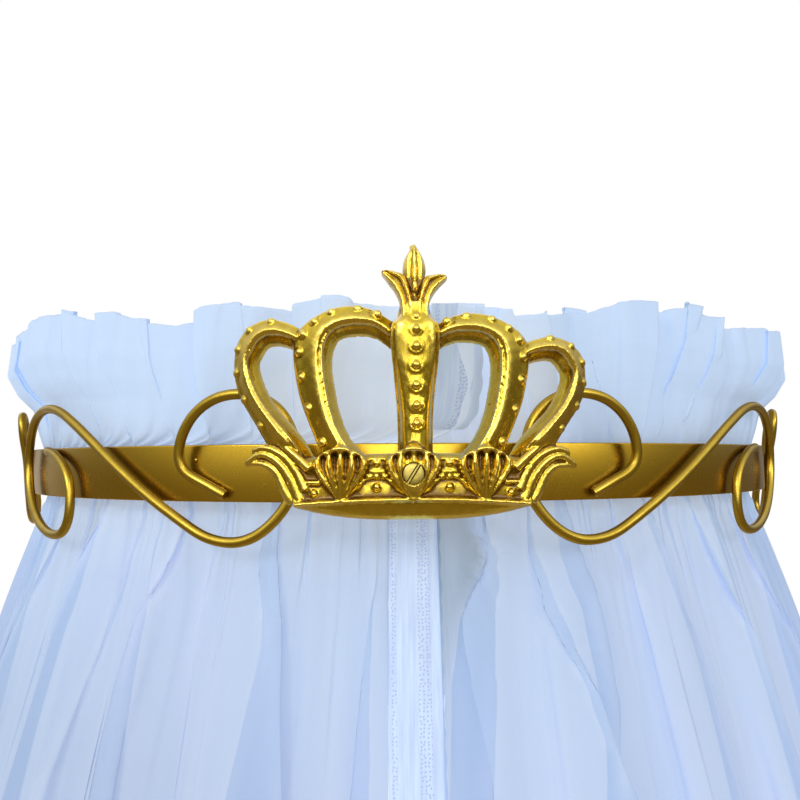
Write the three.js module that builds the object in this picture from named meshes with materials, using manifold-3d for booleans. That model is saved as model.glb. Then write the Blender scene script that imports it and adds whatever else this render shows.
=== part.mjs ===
// Wall-hung bed canopy: a half-round band with scrolls and a cast crown, and two gathered voile
// panels on a rod behind it. Millimetres, +Z up. The wall is the plane y = 0, the front faces -Y,
// and z = 0 is the middle of the band's height.

import * as THREE from 'three';
import { mergeVertices } from 'three/addons/utils/BufferGeometryUtils.js';
import Module from 'manifold-3d';

const wasm = await Module();
wasm.setup();

// Fits shared by all pieces
const fitGap = 0.3;
const cutOverrun = 1;
const weldTolerance = 0.0001;

// Band
const bandRadius = 250;
const bandHeight = 26.2;
const bandThickness = 3.2;
const bandBendRadius = 4.6;
const bandRingSteps = 72;
const bandBendSteps = 6;
const earLength = 25;
const earHoleDiameter = 5.5;
const earHoleInset = 10;

// Scrolls
const scrollRodDiameter = 4.8;
const scrollSides = 8;
const scrollLift = 5.2;
const frontScrollStart = 48.6;
const frontScrollRunShare = 0.7512;
const frontScrollHeight = 35.4;
const frontScrollSteps = 74;
const scrollSpacing = 26;
const sideScrollInset = 36.7;
const sideScrollHeight = 34.5;
const sideScrollSteps = 44;

// Crown casting
const crownHalfWidth = 78;
const crownPlanRadius = 150;
const crownStandoff = 18;
const circletHalfWidth = 49.5;
const circletTop = 8.4;
const circletTopDrop = 2.2;
const circletBottom = -10.8;
const circletBottomDrop = 2.4;
const circletDepth = 10;
const circletEdge = 1.6;
const circletStations = 28;
const lipHeight = 7.4;
const lipEndHeight = 0.9;
const archDepth = 12.5;
const archWallDraft = 3.4;
const innerArchBack = 1.1;
const outerArchBack = 0.3;
const innerArchHeights = { left: 61.8, right: 58.6 };
const outerArchHeights = { left: 57.9, right: 50.1 };
const stemOffset = 1.2;
const stemHalfWidth = 10.3;
const stemDepth = 14.5;
const stemTop = 72;
const fleurHeight = 25.2;
const fleurHalfWidth = 13.4;
const fleurPetalHalfWidth = 4.9;
const fleurDepth = 9;
const sidePetalStations = 8;
const middlePetalStations = 12;
const shellHalfWidth = 11.7;
const shellTop = 11.2;
const shellTip = -11;
const shellDepth = 16;
const shellRidgeDepth = 1.1;
const shellRidges = 3;
const shellSpacing = 29.8;
const leafLength = 28;
const leafHeight = 21.5;
const leafRootX = 44;
const leafBase = -11.3;
const leafDepth = 9.5;
const leafStations = 12;
const beadRadius = 2;
const smallBeadRadius = 1.5;
const beadSides = 8;
const beadRings = 4;
const jewelHalfWidth = 2.9;
const jewelHalfHeight = 2.6;
const jewelDepth = 1.6;
const castingTolerance = 0.06;

// Crown fixing
const screwDiameter = 5;
const screwClearance = 0.15;
const screwHeadDiameter = 9;
const screwHeadHeight = 2.8;
const screwSlotWidth = 1.2;
const screwSlotDepth = 1.3;
const screwSlotTurn = THREE.MathUtils.degToRad(58);
const screwSeatDepth = 10.5;
const screwTail = 1.5;
const spacerDiameter = 12;
const washerDiameter = 12;
const washerThickness = 1.2;
const nutAcrossFlats = 8;
const nutThickness = 4;
const nutSides = 6;
const roundSides = 24;

// Curtain rod and its hooks
const rodDiameter = 6;
const rodInset = 15;
const rodHeight = -5;
const rodEndAngle = THREE.MathUtils.degToRad(88.3);
const rodSides = 8;
const rodSteps = 56;
const hookWidth = 14;
const hookThickness = 2;
const hookLegTop = 9;
const hookLipRise = 1.4;
const hookSideAngle = THREE.MathUtils.degToRad(86.4);

// Voile panels
const clothThickness = 1.2;
const headerHeight = 77;
const headerOutsetWidth = 15;
const headerLeanFrom = THREE.MathUtils.degToRad(20);
const headerLeanTo = THREE.MathUtils.degToRad(58);
const clothDrop = 1700;
const pocketBore = 0.4;
const pocketWall = 4.6;
const pocketHalfHeight = 8;
const pocketSteps = 24;
const panelSideAngle = THREE.MathUtils.degToRad(84.2);
const panelFrontOffset = 11.5;
const clothOutsetWidth = 150;
const clothOutsetHeight = 460;
const clothOutsetTop = 27;
const panelFolds = 6;
const panelColumnsPerFold = 6;
const foldDepth = 15;
const foldDriftAngle = 0.9;
const foldDriftTurns = 1.3;
const laceThickness = 0.8;
const laceTop = -16;
const laceColumns = 3;

// Places that follow from the sizes above
const ringCentreY = -(bandBendRadius + bandThickness / 2);
const bandInnerRadius = bandRadius - bandThickness;
const scrollRun = bandRadius * Math.PI / 2 - frontScrollStart - scrollSpacing - sideScrollInset;
const frontScrollLength = scrollRun * frontScrollRunShare;
const sideScrollStart = frontScrollStart + frontScrollLength + scrollSpacing;
const sideScrollLength = scrollRun - frontScrollLength;
const rodRadius = bandInnerRadius - rodInset;
const pocketTop = rodHeight + pocketHalfHeight;
const pocketBottom = rodHeight - pocketHalfHeight;
const crownBackY = -(bandRadius + crownStandoff);
const screwBore = screwDiameter + 2 * screwClearance;
const degrees = THREE.MathUtils.degToRad;

// Finishes
const goldPaint = new THREE.MeshStandardMaterial({ color: 0xb48c28, roughness: 0.34, metalness: 0.9 });
const castGold = new THREE.MeshStandardMaterial({ color: 0xc49a2a, roughness: 0.28, metalness: 0.95 });
const zincSteel = new THREE.MeshStandardMaterial({ color: 0xb9b6ab, roughness: 0.4, metalness: 1 });
const slottedBrass = new THREE.MeshStandardMaterial({ color: 0xc3a544, roughness: 0.35, metalness: 1 });
const voile = new THREE.MeshStandardMaterial({ color: 0xdfe6f6, roughness: 0.9, metalness: 0 });
const lace = new THREE.MeshStandardMaterial({ color: 0xf2f4fb, roughness: 0.95, metalness: 0 });

// Solids

function solidOf(geometry) {
  geometry.deleteAttribute('normal');
  geometry.deleteAttribute('uv');
  const merged = mergeVertices(geometry, weldTolerance);
  return new wasm.Manifold(new wasm.Mesh({
    numProp: 3,
    vertProperties: new Float32Array(merged.attributes.position.array),
    triVerts: new Uint32Array(merged.index.array),
  }));
}

function geometryOf(solid) {
  const mesh = solid.getMesh();
  const places = new Float32Array(mesh.vertProperties);
  const geometry = new THREE.BufferGeometry();
  geometry.setAttribute('position', new THREE.BufferAttribute(places, mesh.numProp));
  geometry.setIndex(new THREE.BufferAttribute(new Uint32Array(mesh.triVerts), 1));
  geometry.computeVertexNormals();
  return geometry;
}

function meshOf(name, geometry, material) {
  const mesh = new THREE.Mesh(geometry, material);
  mesh.name = name;
  return mesh;
}

function signedVolume(points, faces) {
  let volume = 0;
  for (const [a, b, c] of faces) {
    volume += points[a].dot(new THREE.Vector3().crossVectors(points[b], points[c]));
  }
  return volume;
}

// The faces of one closed body, all turned to look outwards.
function outwardGeometry(points, faces) {
  if (signedVolume(points, faces) < 0) faces.forEach((face) => face.reverse());
  const places = points.flatMap((point) => [point.x, point.y, point.z]);
  const geometry = new THREE.BufferGeometry();
  geometry.setAttribute('position', new THREE.Float32BufferAttribute(places, 3));
  geometry.setIndex(faces.flat());
  return geometry;
}

// A closed solid through rings of points that all have the same count, with a fan on each end.
function loft(rings) {
  const count = rings[0].length;
  const points = rings.flat();
  const faces = [];
  for (let ring = 0; ring + 1 < rings.length; ring += 1) {
    for (let side = 0; side < count; side += 1) {
      const next = (side + 1) % count;
      const low = ring * count;
      const high = low + count;
      faces.push([low + side, low + next, high + next]);
      faces.push([low + side, high + next, high + side]);
    }
  }
  for (const [ring, turned] of [[0, true], [rings.length - 1, false]]) {
    const middle = points.length;
    const centre = new THREE.Vector3();
    rings[ring].forEach((point) => centre.add(point));
    points.push(centre.divideScalar(count));
    for (let side = 0; side < count; side += 1) {
      const here = ring * count + side;
      const next = ring * count + (side + 1) % count;
      faces.push(turned ? [middle, next, here] : [middle, here, next]);
    }
  }
  return outwardGeometry(points, faces);
}

function arcPoints(centreX, centreY, radius, fromAngle, toAngle, steps) {
  const points = [];
  for (let step = 0; step <= steps; step += 1) {
    const angle = fromAngle + (toAngle - fromAngle) * step / steps;
    points.push(new THREE.Vector2(centreX + radius * Math.cos(angle), centreY + radius * Math.sin(angle)));
  }
  return points;
}

// A point at an angle from the front and a height on a cylinder about the ring's centre.
function onRing(angle, radius, height) {
  return new THREE.Vector3(radius * Math.sin(angle), -radius * Math.cos(angle), height);
}

// A round rod along a closed-form route, each ring square to the route.
function rodAlong(route, diameter, sides, outwards) {
  const rings = route.map((point, place) => {
    const before = route[Math.max(place - 1, 0)];
    const after = route[Math.min(place + 1, route.length - 1)];
    const along = new THREE.Vector3().subVectors(after, before).normalize();
    const across = new THREE.Vector3().crossVectors(along, outwards(point)).normalize();
    const up = new THREE.Vector3().crossVectors(across, along);
    const ring = [];
    for (let side = 0; side < sides; side += 1) {
      const turn = (side + 0.5) * 2 * Math.PI / sides;
      ring.push(point.clone()
        .addScaledVector(across, Math.cos(turn) * diameter / 2)
        .addScaledVector(up, Math.sin(turn) * diameter / 2));
    }
    return ring;
  });
  return loft(rings);
}

function cylinderAlongY(diameter, fromY, toY, sides) {
  const geometry = new THREE.CylinderGeometry(diameter / 2, diameter / 2, Math.abs(toY - fromY), sides);
  geometry.translate(0, (fromY + toY) / 2, 0);
  return geometry;
}

// Band: one flat bar rolled to a half ring, its ends bent outwards into drilled wall ears

function makeBand() {
  const bendX = bandRadius - bandThickness / 2 + bandBendRadius;
  const outside = bandBendRadius + bandThickness / 2;
  const inside = bandBendRadius - bandThickness / 2;
  const earEnd = bendX + earLength;
  const corner = (x, y) => new THREE.Vector2(x, y);
  const outline = [
    corner(earEnd, 0),
    ...arcPoints(bendX, ringCentreY, outside, degrees(90), degrees(180), bandBendSteps),
    ...arcPoints(0, ringCentreY, bandInnerRadius, degrees(0), degrees(-180), bandRingSteps).slice(1),
    ...arcPoints(-bendX, ringCentreY, outside, degrees(0), degrees(90), bandBendSteps).slice(1),
    corner(-earEnd, 0),
    corner(-earEnd, -bandThickness),
    ...arcPoints(-bendX, ringCentreY, inside, degrees(90), degrees(0), bandBendSteps),
    ...arcPoints(0, ringCentreY, bandRadius, degrees(-180), degrees(0), bandRingSteps).slice(1),
    ...arcPoints(bendX, ringCentreY, inside, degrees(180), degrees(90), bandBendSteps).slice(1),
    corner(earEnd, -bandThickness),
  ];
  const section = new THREE.Shape(outline);
  const bar = new THREE.ExtrudeGeometry(section, { depth: bandHeight, bevelEnabled: false });
  bar.translate(0, 0, -bandHeight / 2);
  let solid = solidOf(bar);
  for (const side of [-1, 1]) {
    const hole = cylinderAlongY(earHoleDiameter, -bandThickness - cutOverrun, cutOverrun, roundSides);
    hole.translate(side * (earEnd - earHoleInset), 0, 0);
    solid = solid.subtract(solidOf(hole));
  }
  const screwHole = cylinderAlongY(
    screwBore,
    ringCentreY - bandRadius - cutOverrun,
    ringCentreY - bandInnerRadius + cutOverrun,
    roundSides,
  );
  solid = solid.subtract(solidOf(screwHole));
  return geometryOf(solid);
}

// Scrolls: round rod bent cold and welded to the band at both ends

// Shares of a scroll's length along the band, of its height above and below the band's middle, and
// of its lift off the band.
const frontScrollShares = [
  [0.17, -0.282, 0], [0.23, -0.102, 0.15], [0.269, 0.073, 0.5], [0.271, 0.367, 0.8],
  [0.238, 0.72, 0.95], [0.186, 0.938, 1], [0.13, 1, 1], [0.075, 0.938, 1], [0.032, 0.745, 1],
  [0.008, 0.46, 1], [0, 0.12, 1], [0.01, -0.24, 1], [0.05, -0.6, 1], [0.1, -0.808, 0.95],
  [0.15, -0.86, 0.9], [0.21, -0.79, 0.75], [0.27, -0.61, 0.6], [0.342, -0.373, 0.45],
  [0.456, 0.056, 0.45], [0.574, 0.503, 0.45], [0.66, 0.777, 0.45], [0.72, 0.912, 0.45],
  [0.787, 0.966, 0.45], [0.86, 0.904, 0.45], [0.923, 0.72, 0.45], [0.968, 0.42, 0.4],
  [0.985, 0.085, 0.35], [0.966, -0.254, 0.3], [0.913, -0.551, 0.3], [0.845, -0.78, 0.3],
  [0.778, -0.9, 0.3], [0.723, -0.915, 0.3], [0.683, -0.83, 0.3], [0.66, -0.62, 0.3],
  [0.656, -0.34, 0.3], [0.671, -0.056, 0.3], [0.708, 0.141, 0.25], [0.765, 0.28, 0.12],
  [0.825, 0.328, 0],
];
const sideScrollShares = [
  [0.4, 0.28, 0], [0.49, 0.17, 0.2], [0.57, 0.32, 0.45], [0.56, 0.6, 0.6], [0.45, 0.87, 0.7],
  [0.33, 1, 0.78], [0.22, 1, 0.82], [0.14, 0.87, 0.78], [0.15, 0.58, 0.58], [0.234, 0.2, 0.2],
  [0.352, -0.2, 0.08], [0.486, -0.56, 0.05], [0.64, -0.84, 0.1], [0.778, -0.96, 0.15],
  [0.88, -0.95, 0.15], [0.93, -0.8, 0.15], [0.91, -0.55, 0.12], [0.81, -0.32, 0.1],
  [0.7, -0.24, 0.06], [0.6, -0.34, 0],
];

function makeScroll(shares, start, length, height, steps, side) {
  const touching = bandRadius + fitGap + scrollRodDiameter / 2;
  const places = shares.map(([along, up, lift]) => new THREE.Vector3(along, up, lift));
  const curve = new THREE.CatmullRomCurve3(places, false, 'centripetal');
  const route = curve.getSpacedPoints(steps).map((place) => onRing(
    side * (start + place.x * length) / bandRadius,
    touching + Math.max(place.z, 0) * scrollLift,
    place.y * height,
  ));
  const outwards = (point) => new THREE.Vector3(point.x, point.y, 0).normalize();
  return rodAlong(route, scrollRodDiameter, scrollSides, outwards);
}

// Crown: one open casting, domed in plan, drawn flat as (across, up, depth) and laid on its dome

function onCrown(across, up, depth) {
  const back = crownBackY + across * across / (2 * crownPlanRadius);
  return new THREE.Vector3(across, back - depth, up);
}

// Shares of the crown's half width and of the arch's height above the circlet: the outer edge and
// the window's lip, station by station from the root to the end that meets its neighbour.
const innerArchOuterShares = [
  [0.46, -0.08], [0.52, 0.13], [0.585, 0.35], [0.622, 0.57], [0.632, 0.75], [0.594, 0.86],
  [0.505, 0.95], [0.373, 1], [0.245, 0.985], [0.15, 0.93], [0.06, 0.85],
];
const innerArchLipShares = [
  [0.27, -0.06], [0.37, 0.09], [0.431, 0.27], [0.463, 0.46], [0.478, 0.64], [0.462, 0.765],
  [0.42, 0.83], [0.345, 0.862], [0.24, 0.862], [0.16, 0.825], [0.07, 0.74],
];
const outerArchOuterShares = [
  [0.72, -0.12], [0.786, 0.047], [0.873, 0.245], [0.962, 0.449], [0.99, 0.653], [0.973, 0.832],
  [0.894, 0.957], [0.776, 1], [0.653, 0.953], [0.57, 0.885],
];
const outerArchLipShares = [
  [0.56, -0.1], [0.636, 0.083], [0.745, 0.261], [0.842, 0.442], [0.899, 0.646], [0.879, 0.76],
  [0.829, 0.85], [0.75, 0.876], [0.653, 0.845], [0.57, 0.77],
];
// Shares of the strip's width from the outer edge to the lip, and of the arch's depth.
const archSectionShares = [
  [0, 0.5], [0.08, 0.72], [0.25, 0.82], [0.48, 0.93], [0.68, 1], [0.82, 0.97],
  [0.88, 0.84], [0.94, 0.88], [1, 0.82],
];
const archStations = 18;
const wallStartShare = 0.72;

function edgeCurve(shares, side, height) {
  const width = side * crownHalfWidth;
  const points = shares.map(([across, up]) => new THREE.Vector2(across * width, circletTop + up * height));
  return new THREE.SplineCurve(points);
}

function makeArch(outerShares, lipShares, side, height, backDepth) {
  const outer = edgeCurve(outerShares, side, height);
  const lip = edgeCurve(lipShares, side, height);
  const rings = [];
  for (let station = 0; station <= archStations; station += 1) {
    const place = station / archStations;
    const edge = outer.getPoint(place);
    const inner = lip.getPoint(place);
    const inwards = new THREE.Vector2().subVectors(inner, edge).normalize();
    const ring = [onCrown(edge.x, edge.y, backDepth)];
    for (const [acrossShare, depthShare] of archSectionShares) {
      const point = new THREE.Vector2().lerpVectors(edge, inner, acrossShare);
      ring.push(onCrown(point.x, point.y, depthShare * archDepth));
    }
    const wallMiddle = inner.clone().addScaledVector(inwards, archWallDraft * wallStartShare);
    const wallFoot = inner.clone().addScaledVector(inwards, archWallDraft);
    ring.push(onCrown(wallMiddle.x, wallMiddle.y, archDepth / 2));
    ring.push(onCrown(wallFoot.x, wallFoot.y, backDepth));
    rings.push(ring);
  }
  return loft(rings);
}

// A leaf between two edges, swelling to a ridge along its middle.
const leafSectionShares = [
  [0, 0.22], [0, 0.45], [0.18, 0.8], [0.5, 1], [0.82, 0.8], [1, 0.45], [1, 0.22],
];

function makeLeaf(edgeA, edgeB, depth, stations) {
  const rings = [];
  for (let station = 0; station <= stations; station += 1) {
    const from = edgeA.getPoint(station / stations);
    const to = edgeB.getPoint(station / stations);
    rings.push(leafSectionShares.map(([acrossShare, depthShare]) => {
      const point = new THREE.Vector2().lerpVectors(from, to, acrossShare);
      return onCrown(point.x, point.y, depthShare * depth);
    }));
  }
  return loft(rings);
}

// Shares of the stem's half width at shares of its height above the circlet's bottom edge.
const stemShares = [
  [0, 0.68], [0.3, 0.69], [0.45, 0.75], [0.6, 0.87], [0.72, 0.96], [0.81, 1], [0.86, 0.94],
  [0.91, 0.73], [0.95, 0.63], [1, 0.6],
];
const stemSectionShares = [[-1, 0.25], [-1, 0.42], [-0.82, 0.74], [-0.46, 0.94], [0, 1]];
const stemFlatShare = 0.55;

function makeStem() {
  const bottom = circletBottom / 2;
  const fullSection = [
    ...stemSectionShares,
    ...stemSectionShares.slice(0, -1).reverse().map(([across, depth]) => [-across, depth]),
  ];
  const rings = stemShares.map(([upShare, widthShare]) => {
    const up = bottom + (stemTop - bottom) * upShare;
    const halfWidth = stemHalfWidth * widthShare;
    const depth = stemDepth * (stemFlatShare + (1 - stemFlatShare) * widthShare);
    return fullSection.map(([across, depthShare]) => (
      onCrown(stemOffset + across * halfWidth, up, depthShare * depth)
    ));
  });
  return loft(rings);
}

// Shares of the fleur's half width and height above the stem's neck, and for its middle petal of
// the petal's own half width.
const fleurOuterShares = [
  [0.4, -0.12], [0.44, -0.02], [0.54, 0.11], [0.72, 0.26], [0.93, 0.4], [1, 0.48],
];
const fleurInnerShares = [
  [0.02, -0.12], [0.03, 0.08], [0.1, 0.3], [0.34, 0.47], [0.64, 0.52], [0.97, 0.55],
];
const fleurMiddleShares = [
  [0.3, -0.12], [0.3, 0.05], [0.62, 0.2], [0.9, 0.38], [1, 0.56], [0.9, 0.73], [0.56, 0.88],
  [0.08, 1],
];
const fleurSinkShare = 0.06;

function makeFleur() {
  const place = (reach) => ([across, up]) => (
    new THREE.Vector2(stemOffset + across * reach, stemTop + (up - fleurSinkShare) * fleurHeight)
  );
  const parts = [];
  for (const side of [-1, 1]) {
    const outer = new THREE.SplineCurve(fleurOuterShares.map(place(side * fleurHalfWidth)));
    const inner = new THREE.SplineCurve(fleurInnerShares.map(place(side * fleurHalfWidth)));
    parts.push(makeLeaf(outer, inner, fleurDepth, sidePetalStations));
  }
  const left = new THREE.SplineCurve(fleurMiddleShares.map(place(-fleurPetalHalfWidth)));
  const right = new THREE.SplineCurve(fleurMiddleShares.map(place(fleurPetalHalfWidth)));
  parts.push(makeLeaf(left, right, fleurDepth, middlePetalStations));
  return parts;
}

// The circlet is one plate with a raised rim above and below, and a lip that hangs under it as a
// crescent. Shares of its depth, from the top edge down to the lip's back.
const circletWaistShare = 0.42;
const crestDepthShare = 0.9;
const plateDepthShare = 0.86;
const waistDepthShare = 0.95;
const rimDepthShare = 1.05;
const bottomDepthShare = 1.2;
const lipMiddleDepthShare = 1.02;
const lipFrontDepthShare = 0.55;
const lipBackDepthShare = 0.12;

function makeCirclet() {
  const rings = [];
  for (let station = 0; station <= circletStations; station += 1) {
    const share = 2 * station / circletStations - 1;
    const across = share * circletHalfWidth;
    const top = circletTop - circletTopDrop * share * share;
    const bottom = circletBottom - circletBottomDrop * share * share;
    const lip = bottom - lipEndHeight - (lipHeight - lipEndHeight) * (1 - share * share);
    const waist = bottom + (top - bottom) * circletWaistShare;
    rings.push([
      onCrown(across, top, 0),
      onCrown(across, top, circletDepth * crestDepthShare),
      onCrown(across, top - circletEdge / 2, circletDepth),
      onCrown(across, top - circletEdge, circletDepth * plateDepthShare),
      onCrown(across, waist + circletEdge / 2, circletDepth * plateDepthShare),
      onCrown(across, waist, circletDepth * waistDepthShare),
      onCrown(across, bottom + circletEdge, circletDepth * rimDepthShare),
      onCrown(across, bottom, circletDepth * bottomDepthShare),
      onCrown(across, (bottom + lip) / 2, circletDepth * lipMiddleDepthShare),
      onCrown(across, lip, circletDepth * lipFrontDepthShare),
      onCrown(across, lip, circletDepth * lipBackDepthShare),
    ]);
  }
  return loft(rings);
}

// Shares of a shell's height from its crest to its tip, and of its half width there.
const shellShares = [
  [0, 0.22], [0.05, 0.62], [0.13, 0.88], [0.27, 1], [0.45, 0.86], [0.6, 0.66], [0.75, 0.42],
  [0.88, 0.22], [1, 0.05],
];
const shellColumns = 18;
const shellRootShare = 0.8;
const shellSwellShare = 0.45;

function makeShell(middle) {
  const rings = shellShares.map(([downShare, widthShare]) => {
    const up = shellTop + (shellTip - shellTop) * downShare;
    const halfWidth = shellHalfWidth * widthShare;
    const ring = [
      onCrown(middle + halfWidth, up, circletDepth / 2),
      onCrown(middle - halfWidth, up, circletDepth / 2),
    ];
    const root = circletDepth * shellRootShare;
    const fullness = shellSwellShare + (1 - shellSwellShare) * widthShare;
    for (let column = 0; column <= shellColumns; column += 1) {
      const share = 2 * column / shellColumns - 1;
      const swell = Math.sqrt(Math.max(1 - share * share, 0)) * fullness;
      const ridge = Math.cos(share * Math.PI * (shellRidges + 1 / 2)) * shellRidgeDepth * widthShare;
      const depth = root + (shellDepth - root + ridge) * swell;
      ring.push(onCrown(middle + share * halfWidth, up, depth));
    }
    return ring;
  });
  return loft(rings);
}

// Shares of a side leaf's length outwards from its root and of its height above the crown's base.
const leafLowerShares = [
  [0.1, -0.08], [0.3, 0.26], [0.45, 0.465], [0.62, 0.595], [0.79, 0.65], [0.93, 0.66], [1, 0.72],
];
const leafUpperShares = [
  [-0.1, 0.2], [0.04, 0.52], [0.2, 0.726], [0.41, 0.907], [0.62, 1], [0.84, 0.96], [1, 0.8],
];

function makeSideLeaf(side) {
  const place = ([across, up]) => (
    new THREE.Vector2(side * (leafRootX + across * leafLength), leafBase + up * leafHeight)
  );
  const lower = new THREE.SplineCurve(leafLowerShares.map(place));
  const upper = new THREE.SplineCurve(leafUpperShares.map(place));
  return makeLeaf(lower, upper, leafDepth, leafStations);
}

function makeBead(radius, across, up, depth) {
  const bead = new THREE.SphereGeometry(radius, beadSides, beadRings);
  bead.rotateX(Math.PI / 2);
  const centre = onCrown(across, up, depth);
  bead.translate(centre.x, centre.y, centre.z);
  return bead;
}

// Places of the bead rows, as shares of the way along an arch, and of the stem's height.
const innerArchBeadShares = [0.08, 0.19, 0.29, 0.38, 0.47, 0.56, 0.65, 0.76, 0.86];
const outerArchBeadShares = [0.12, 0.25, 0.38, 0.51, 0.64, 0.77];
const stemBeadShares = [0.35, 0.45, 0.555, 0.65, 0.755, 0.85, 0.915];
const archBeadAcrossShare = 0.2;
const archBeadDepthShare = 0.82;
const stemBeadDepthShare = 0.96;

function makeArchBeads(outerShares, lipShares, beadShares, side, height) {
  const outer = edgeCurve(outerShares, side, height);
  const lip = edgeCurve(lipShares, side, height);
  return beadShares.map((share) => {
    const point = outer.getPoint(share).lerp(lip.getPoint(share), archBeadAcrossShare);
    return makeBead(beadRadius, point.x, point.y, archDepth * archBeadDepthShare);
  });
}

function makeJewel(across) {
  const setting = new THREE.BoxGeometry(2 * jewelHalfWidth, 2 * jewelDepth, 2 * jewelHalfHeight);
  const place = onCrown(across, circletTop / 2 - circletEdge, circletDepth * plateDepthShare);
  setting.translate(place.x, place.y, place.z);
  return setting;
}

function makeCrown() {
  const parts = [makeCirclet(), makeStem(), ...makeFleur()];
  for (const [name, side] of [['left', -1], ['right', 1]]) {
    const innerEdges = [innerArchOuterShares, innerArchLipShares];
    const outerEdges = [outerArchOuterShares, outerArchLipShares];
    const innerHeight = innerArchHeights[name];
    const outerHeight = outerArchHeights[name];
    parts.push(makeArch(...innerEdges, side, innerHeight, innerArchBack));
    parts.push(makeArch(...outerEdges, side, outerHeight, outerArchBack));
    parts.push(...makeArchBeads(...innerEdges, innerArchBeadShares, side, innerHeight));
    parts.push(...makeArchBeads(...outerEdges, outerArchBeadShares, side, outerHeight));
    parts.push(makeSideLeaf(side));
    const between = side * shellSpacing / 2;
    parts.push(makeJewel(between));
    parts.push(makeBead(smallBeadRadius, between, circletTop / 2, circletDepth * rimDepthShare));
    parts.push(makeBead(smallBeadRadius, between, circletBottom / 2, circletDepth));
  }
  for (const place of [-1, 0, 1]) parts.push(makeShell(place * shellSpacing));
  for (const share of stemBeadShares) {
    const up = circletBottom / 2 + (stemTop - circletBottom / 2) * share;
    parts.push(makeBead(beadRadius, stemOffset, up, stemDepth * stemBeadDepthShare));
  }
  let casting = wasm.Manifold.union(parts.map(solidOf));
  const seatY = onCrown(0, 0, screwSeatDepth).y;
  const frontY = onCrown(0, 0, shellDepth + 2 * shellRidgeDepth + cutOverrun).y;
  const backY = onCrown(0, 0, 0).y + cutOverrun;
  const pocket = cylinderAlongY(screwHeadDiameter + 2 * fitGap, frontY, seatY, roundSides);
  const bore = cylinderAlongY(screwBore, seatY - cutOverrun, backY, roundSides);
  casting = casting.subtract(solidOf(pocket)).subtract(solidOf(bore));
  return geometryOf(casting.asOriginal().simplify(castingTolerance));
}

// Crown fixing: a slotted screw through the casting, a spacer and the band, with washer and nut

function tube(outerDiameter, innerDiameter, fromY, toY, sides) {
  const body = solidOf(cylinderAlongY(outerDiameter, fromY, toY, sides));
  const bore = solidOf(cylinderAlongY(innerDiameter, fromY - cutOverrun, toY + cutOverrun, roundSides));
  return geometryOf(body.subtract(bore));
}

const bandFrontY = -bandRadius;
const hookLegFace = bandInnerRadius * Math.cos(hookWidth / 2 / bandInnerRadius) - fitGap;
const hookBackY = -(hookLegFace - hookThickness);

function makeSpacer() {
  return tube(spacerDiameter, screwBore, crownBackY + fitGap, bandFrontY - fitGap, roundSides);
}

function makeWasher() {
  const start = hookBackY + fitGap;
  return tube(washerDiameter, screwBore, start, start + washerThickness, roundSides);
}

function makeNut() {
  const start = hookBackY + 2 * fitGap + washerThickness;
  const acrossCorners = nutAcrossFlats / Math.cos(Math.PI / nutSides);
  return tube(acrossCorners, screwBore, start, start + nutThickness, nutSides);
}

function makeScrew() {
  const seat = crownBackY - screwSeatDepth - fitGap;
  const end = hookBackY + 2 * fitGap + washerThickness + nutThickness + screwTail;
  const head = solidOf(cylinderAlongY(screwHeadDiameter, seat - screwHeadHeight, seat, roundSides));
  const shank = solidOf(cylinderAlongY(screwDiameter, seat - cutOverrun, end, roundSides));
  const slotBox = new THREE.BoxGeometry(
    screwHeadDiameter + 2 * cutOverrun,
    screwSlotDepth + cutOverrun,
    screwSlotWidth,
  );
  slotBox.rotateY(-screwSlotTurn);
  slotBox.translate(0, seat - screwHeadHeight + (screwSlotDepth - cutOverrun) / 2, 0);
  return geometryOf(head.add(shank).subtract(solidOf(slotBox)));
}

// Curtain rod and the open hooks that carry it

const upwards = () => new THREE.Vector3(0, 0, 1);

function makeRod() {
  const route = [];
  for (let step = 0; step <= rodSteps; step += 1) {
    const angle = -rodEndAngle + 2 * rodEndAngle * step / rodSteps;
    route.push(onRing(angle, rodRadius, rodHeight));
  }
  return rodAlong(route, rodDiameter, rodSides, upwards);
}

function makeHook(angle) {
  const halfRod = rodDiameter / 2 + fitGap;
  const lipFace = rodRadius - halfRod;
  const lipTop = rodHeight + hookLipRise;
  const armTop = rodHeight - halfRod;
  const outline = new THREE.Shape([
    new THREE.Vector2(hookLegFace, hookLegTop),
    new THREE.Vector2(hookLegFace - hookThickness, hookLegTop),
    new THREE.Vector2(hookLegFace - hookThickness, armTop),
    new THREE.Vector2(lipFace, armTop),
    new THREE.Vector2(lipFace, lipTop),
    new THREE.Vector2(lipFace - hookThickness, lipTop),
    new THREE.Vector2(lipFace - hookThickness, armTop - hookThickness),
    new THREE.Vector2(hookLegFace, armTop - hookThickness),
  ]);
  const hook = new THREE.ExtrudeGeometry(outline, { depth: hookWidth, bevelEnabled: false });
  hook.translate(0, 0, -hookWidth / 2);
  hook.rotateX(Math.PI / 2);
  hook.rotateZ(angle - Math.PI / 2);
  return hook;
}

// The front hook has no weld: the crown's screw passes through its leg.
function makeFrontHook() {
  const bore = cylinderAlongY(
    screwBore,
    -hookLegFace - cutOverrun,
    hookBackY + cutOverrun,
    roundSides,
  );
  return geometryOf(solidOf(makeHook(0)).subtract(solidOf(bore)));
}

// Voile panels: gathered on the rod through a sewn pocket, with a standing frill above it

// Heights as shares: the header's above the pocket, then the skirt's below it.
const headerLevelShares = [1, 0.74, 0.46, 0.12];
const fullFoldShare = 0.27;
const skirtLevelShares = [0.008, 0.02, 0.045, 0.11, fullFoldShare, 0.52, 1];
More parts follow.
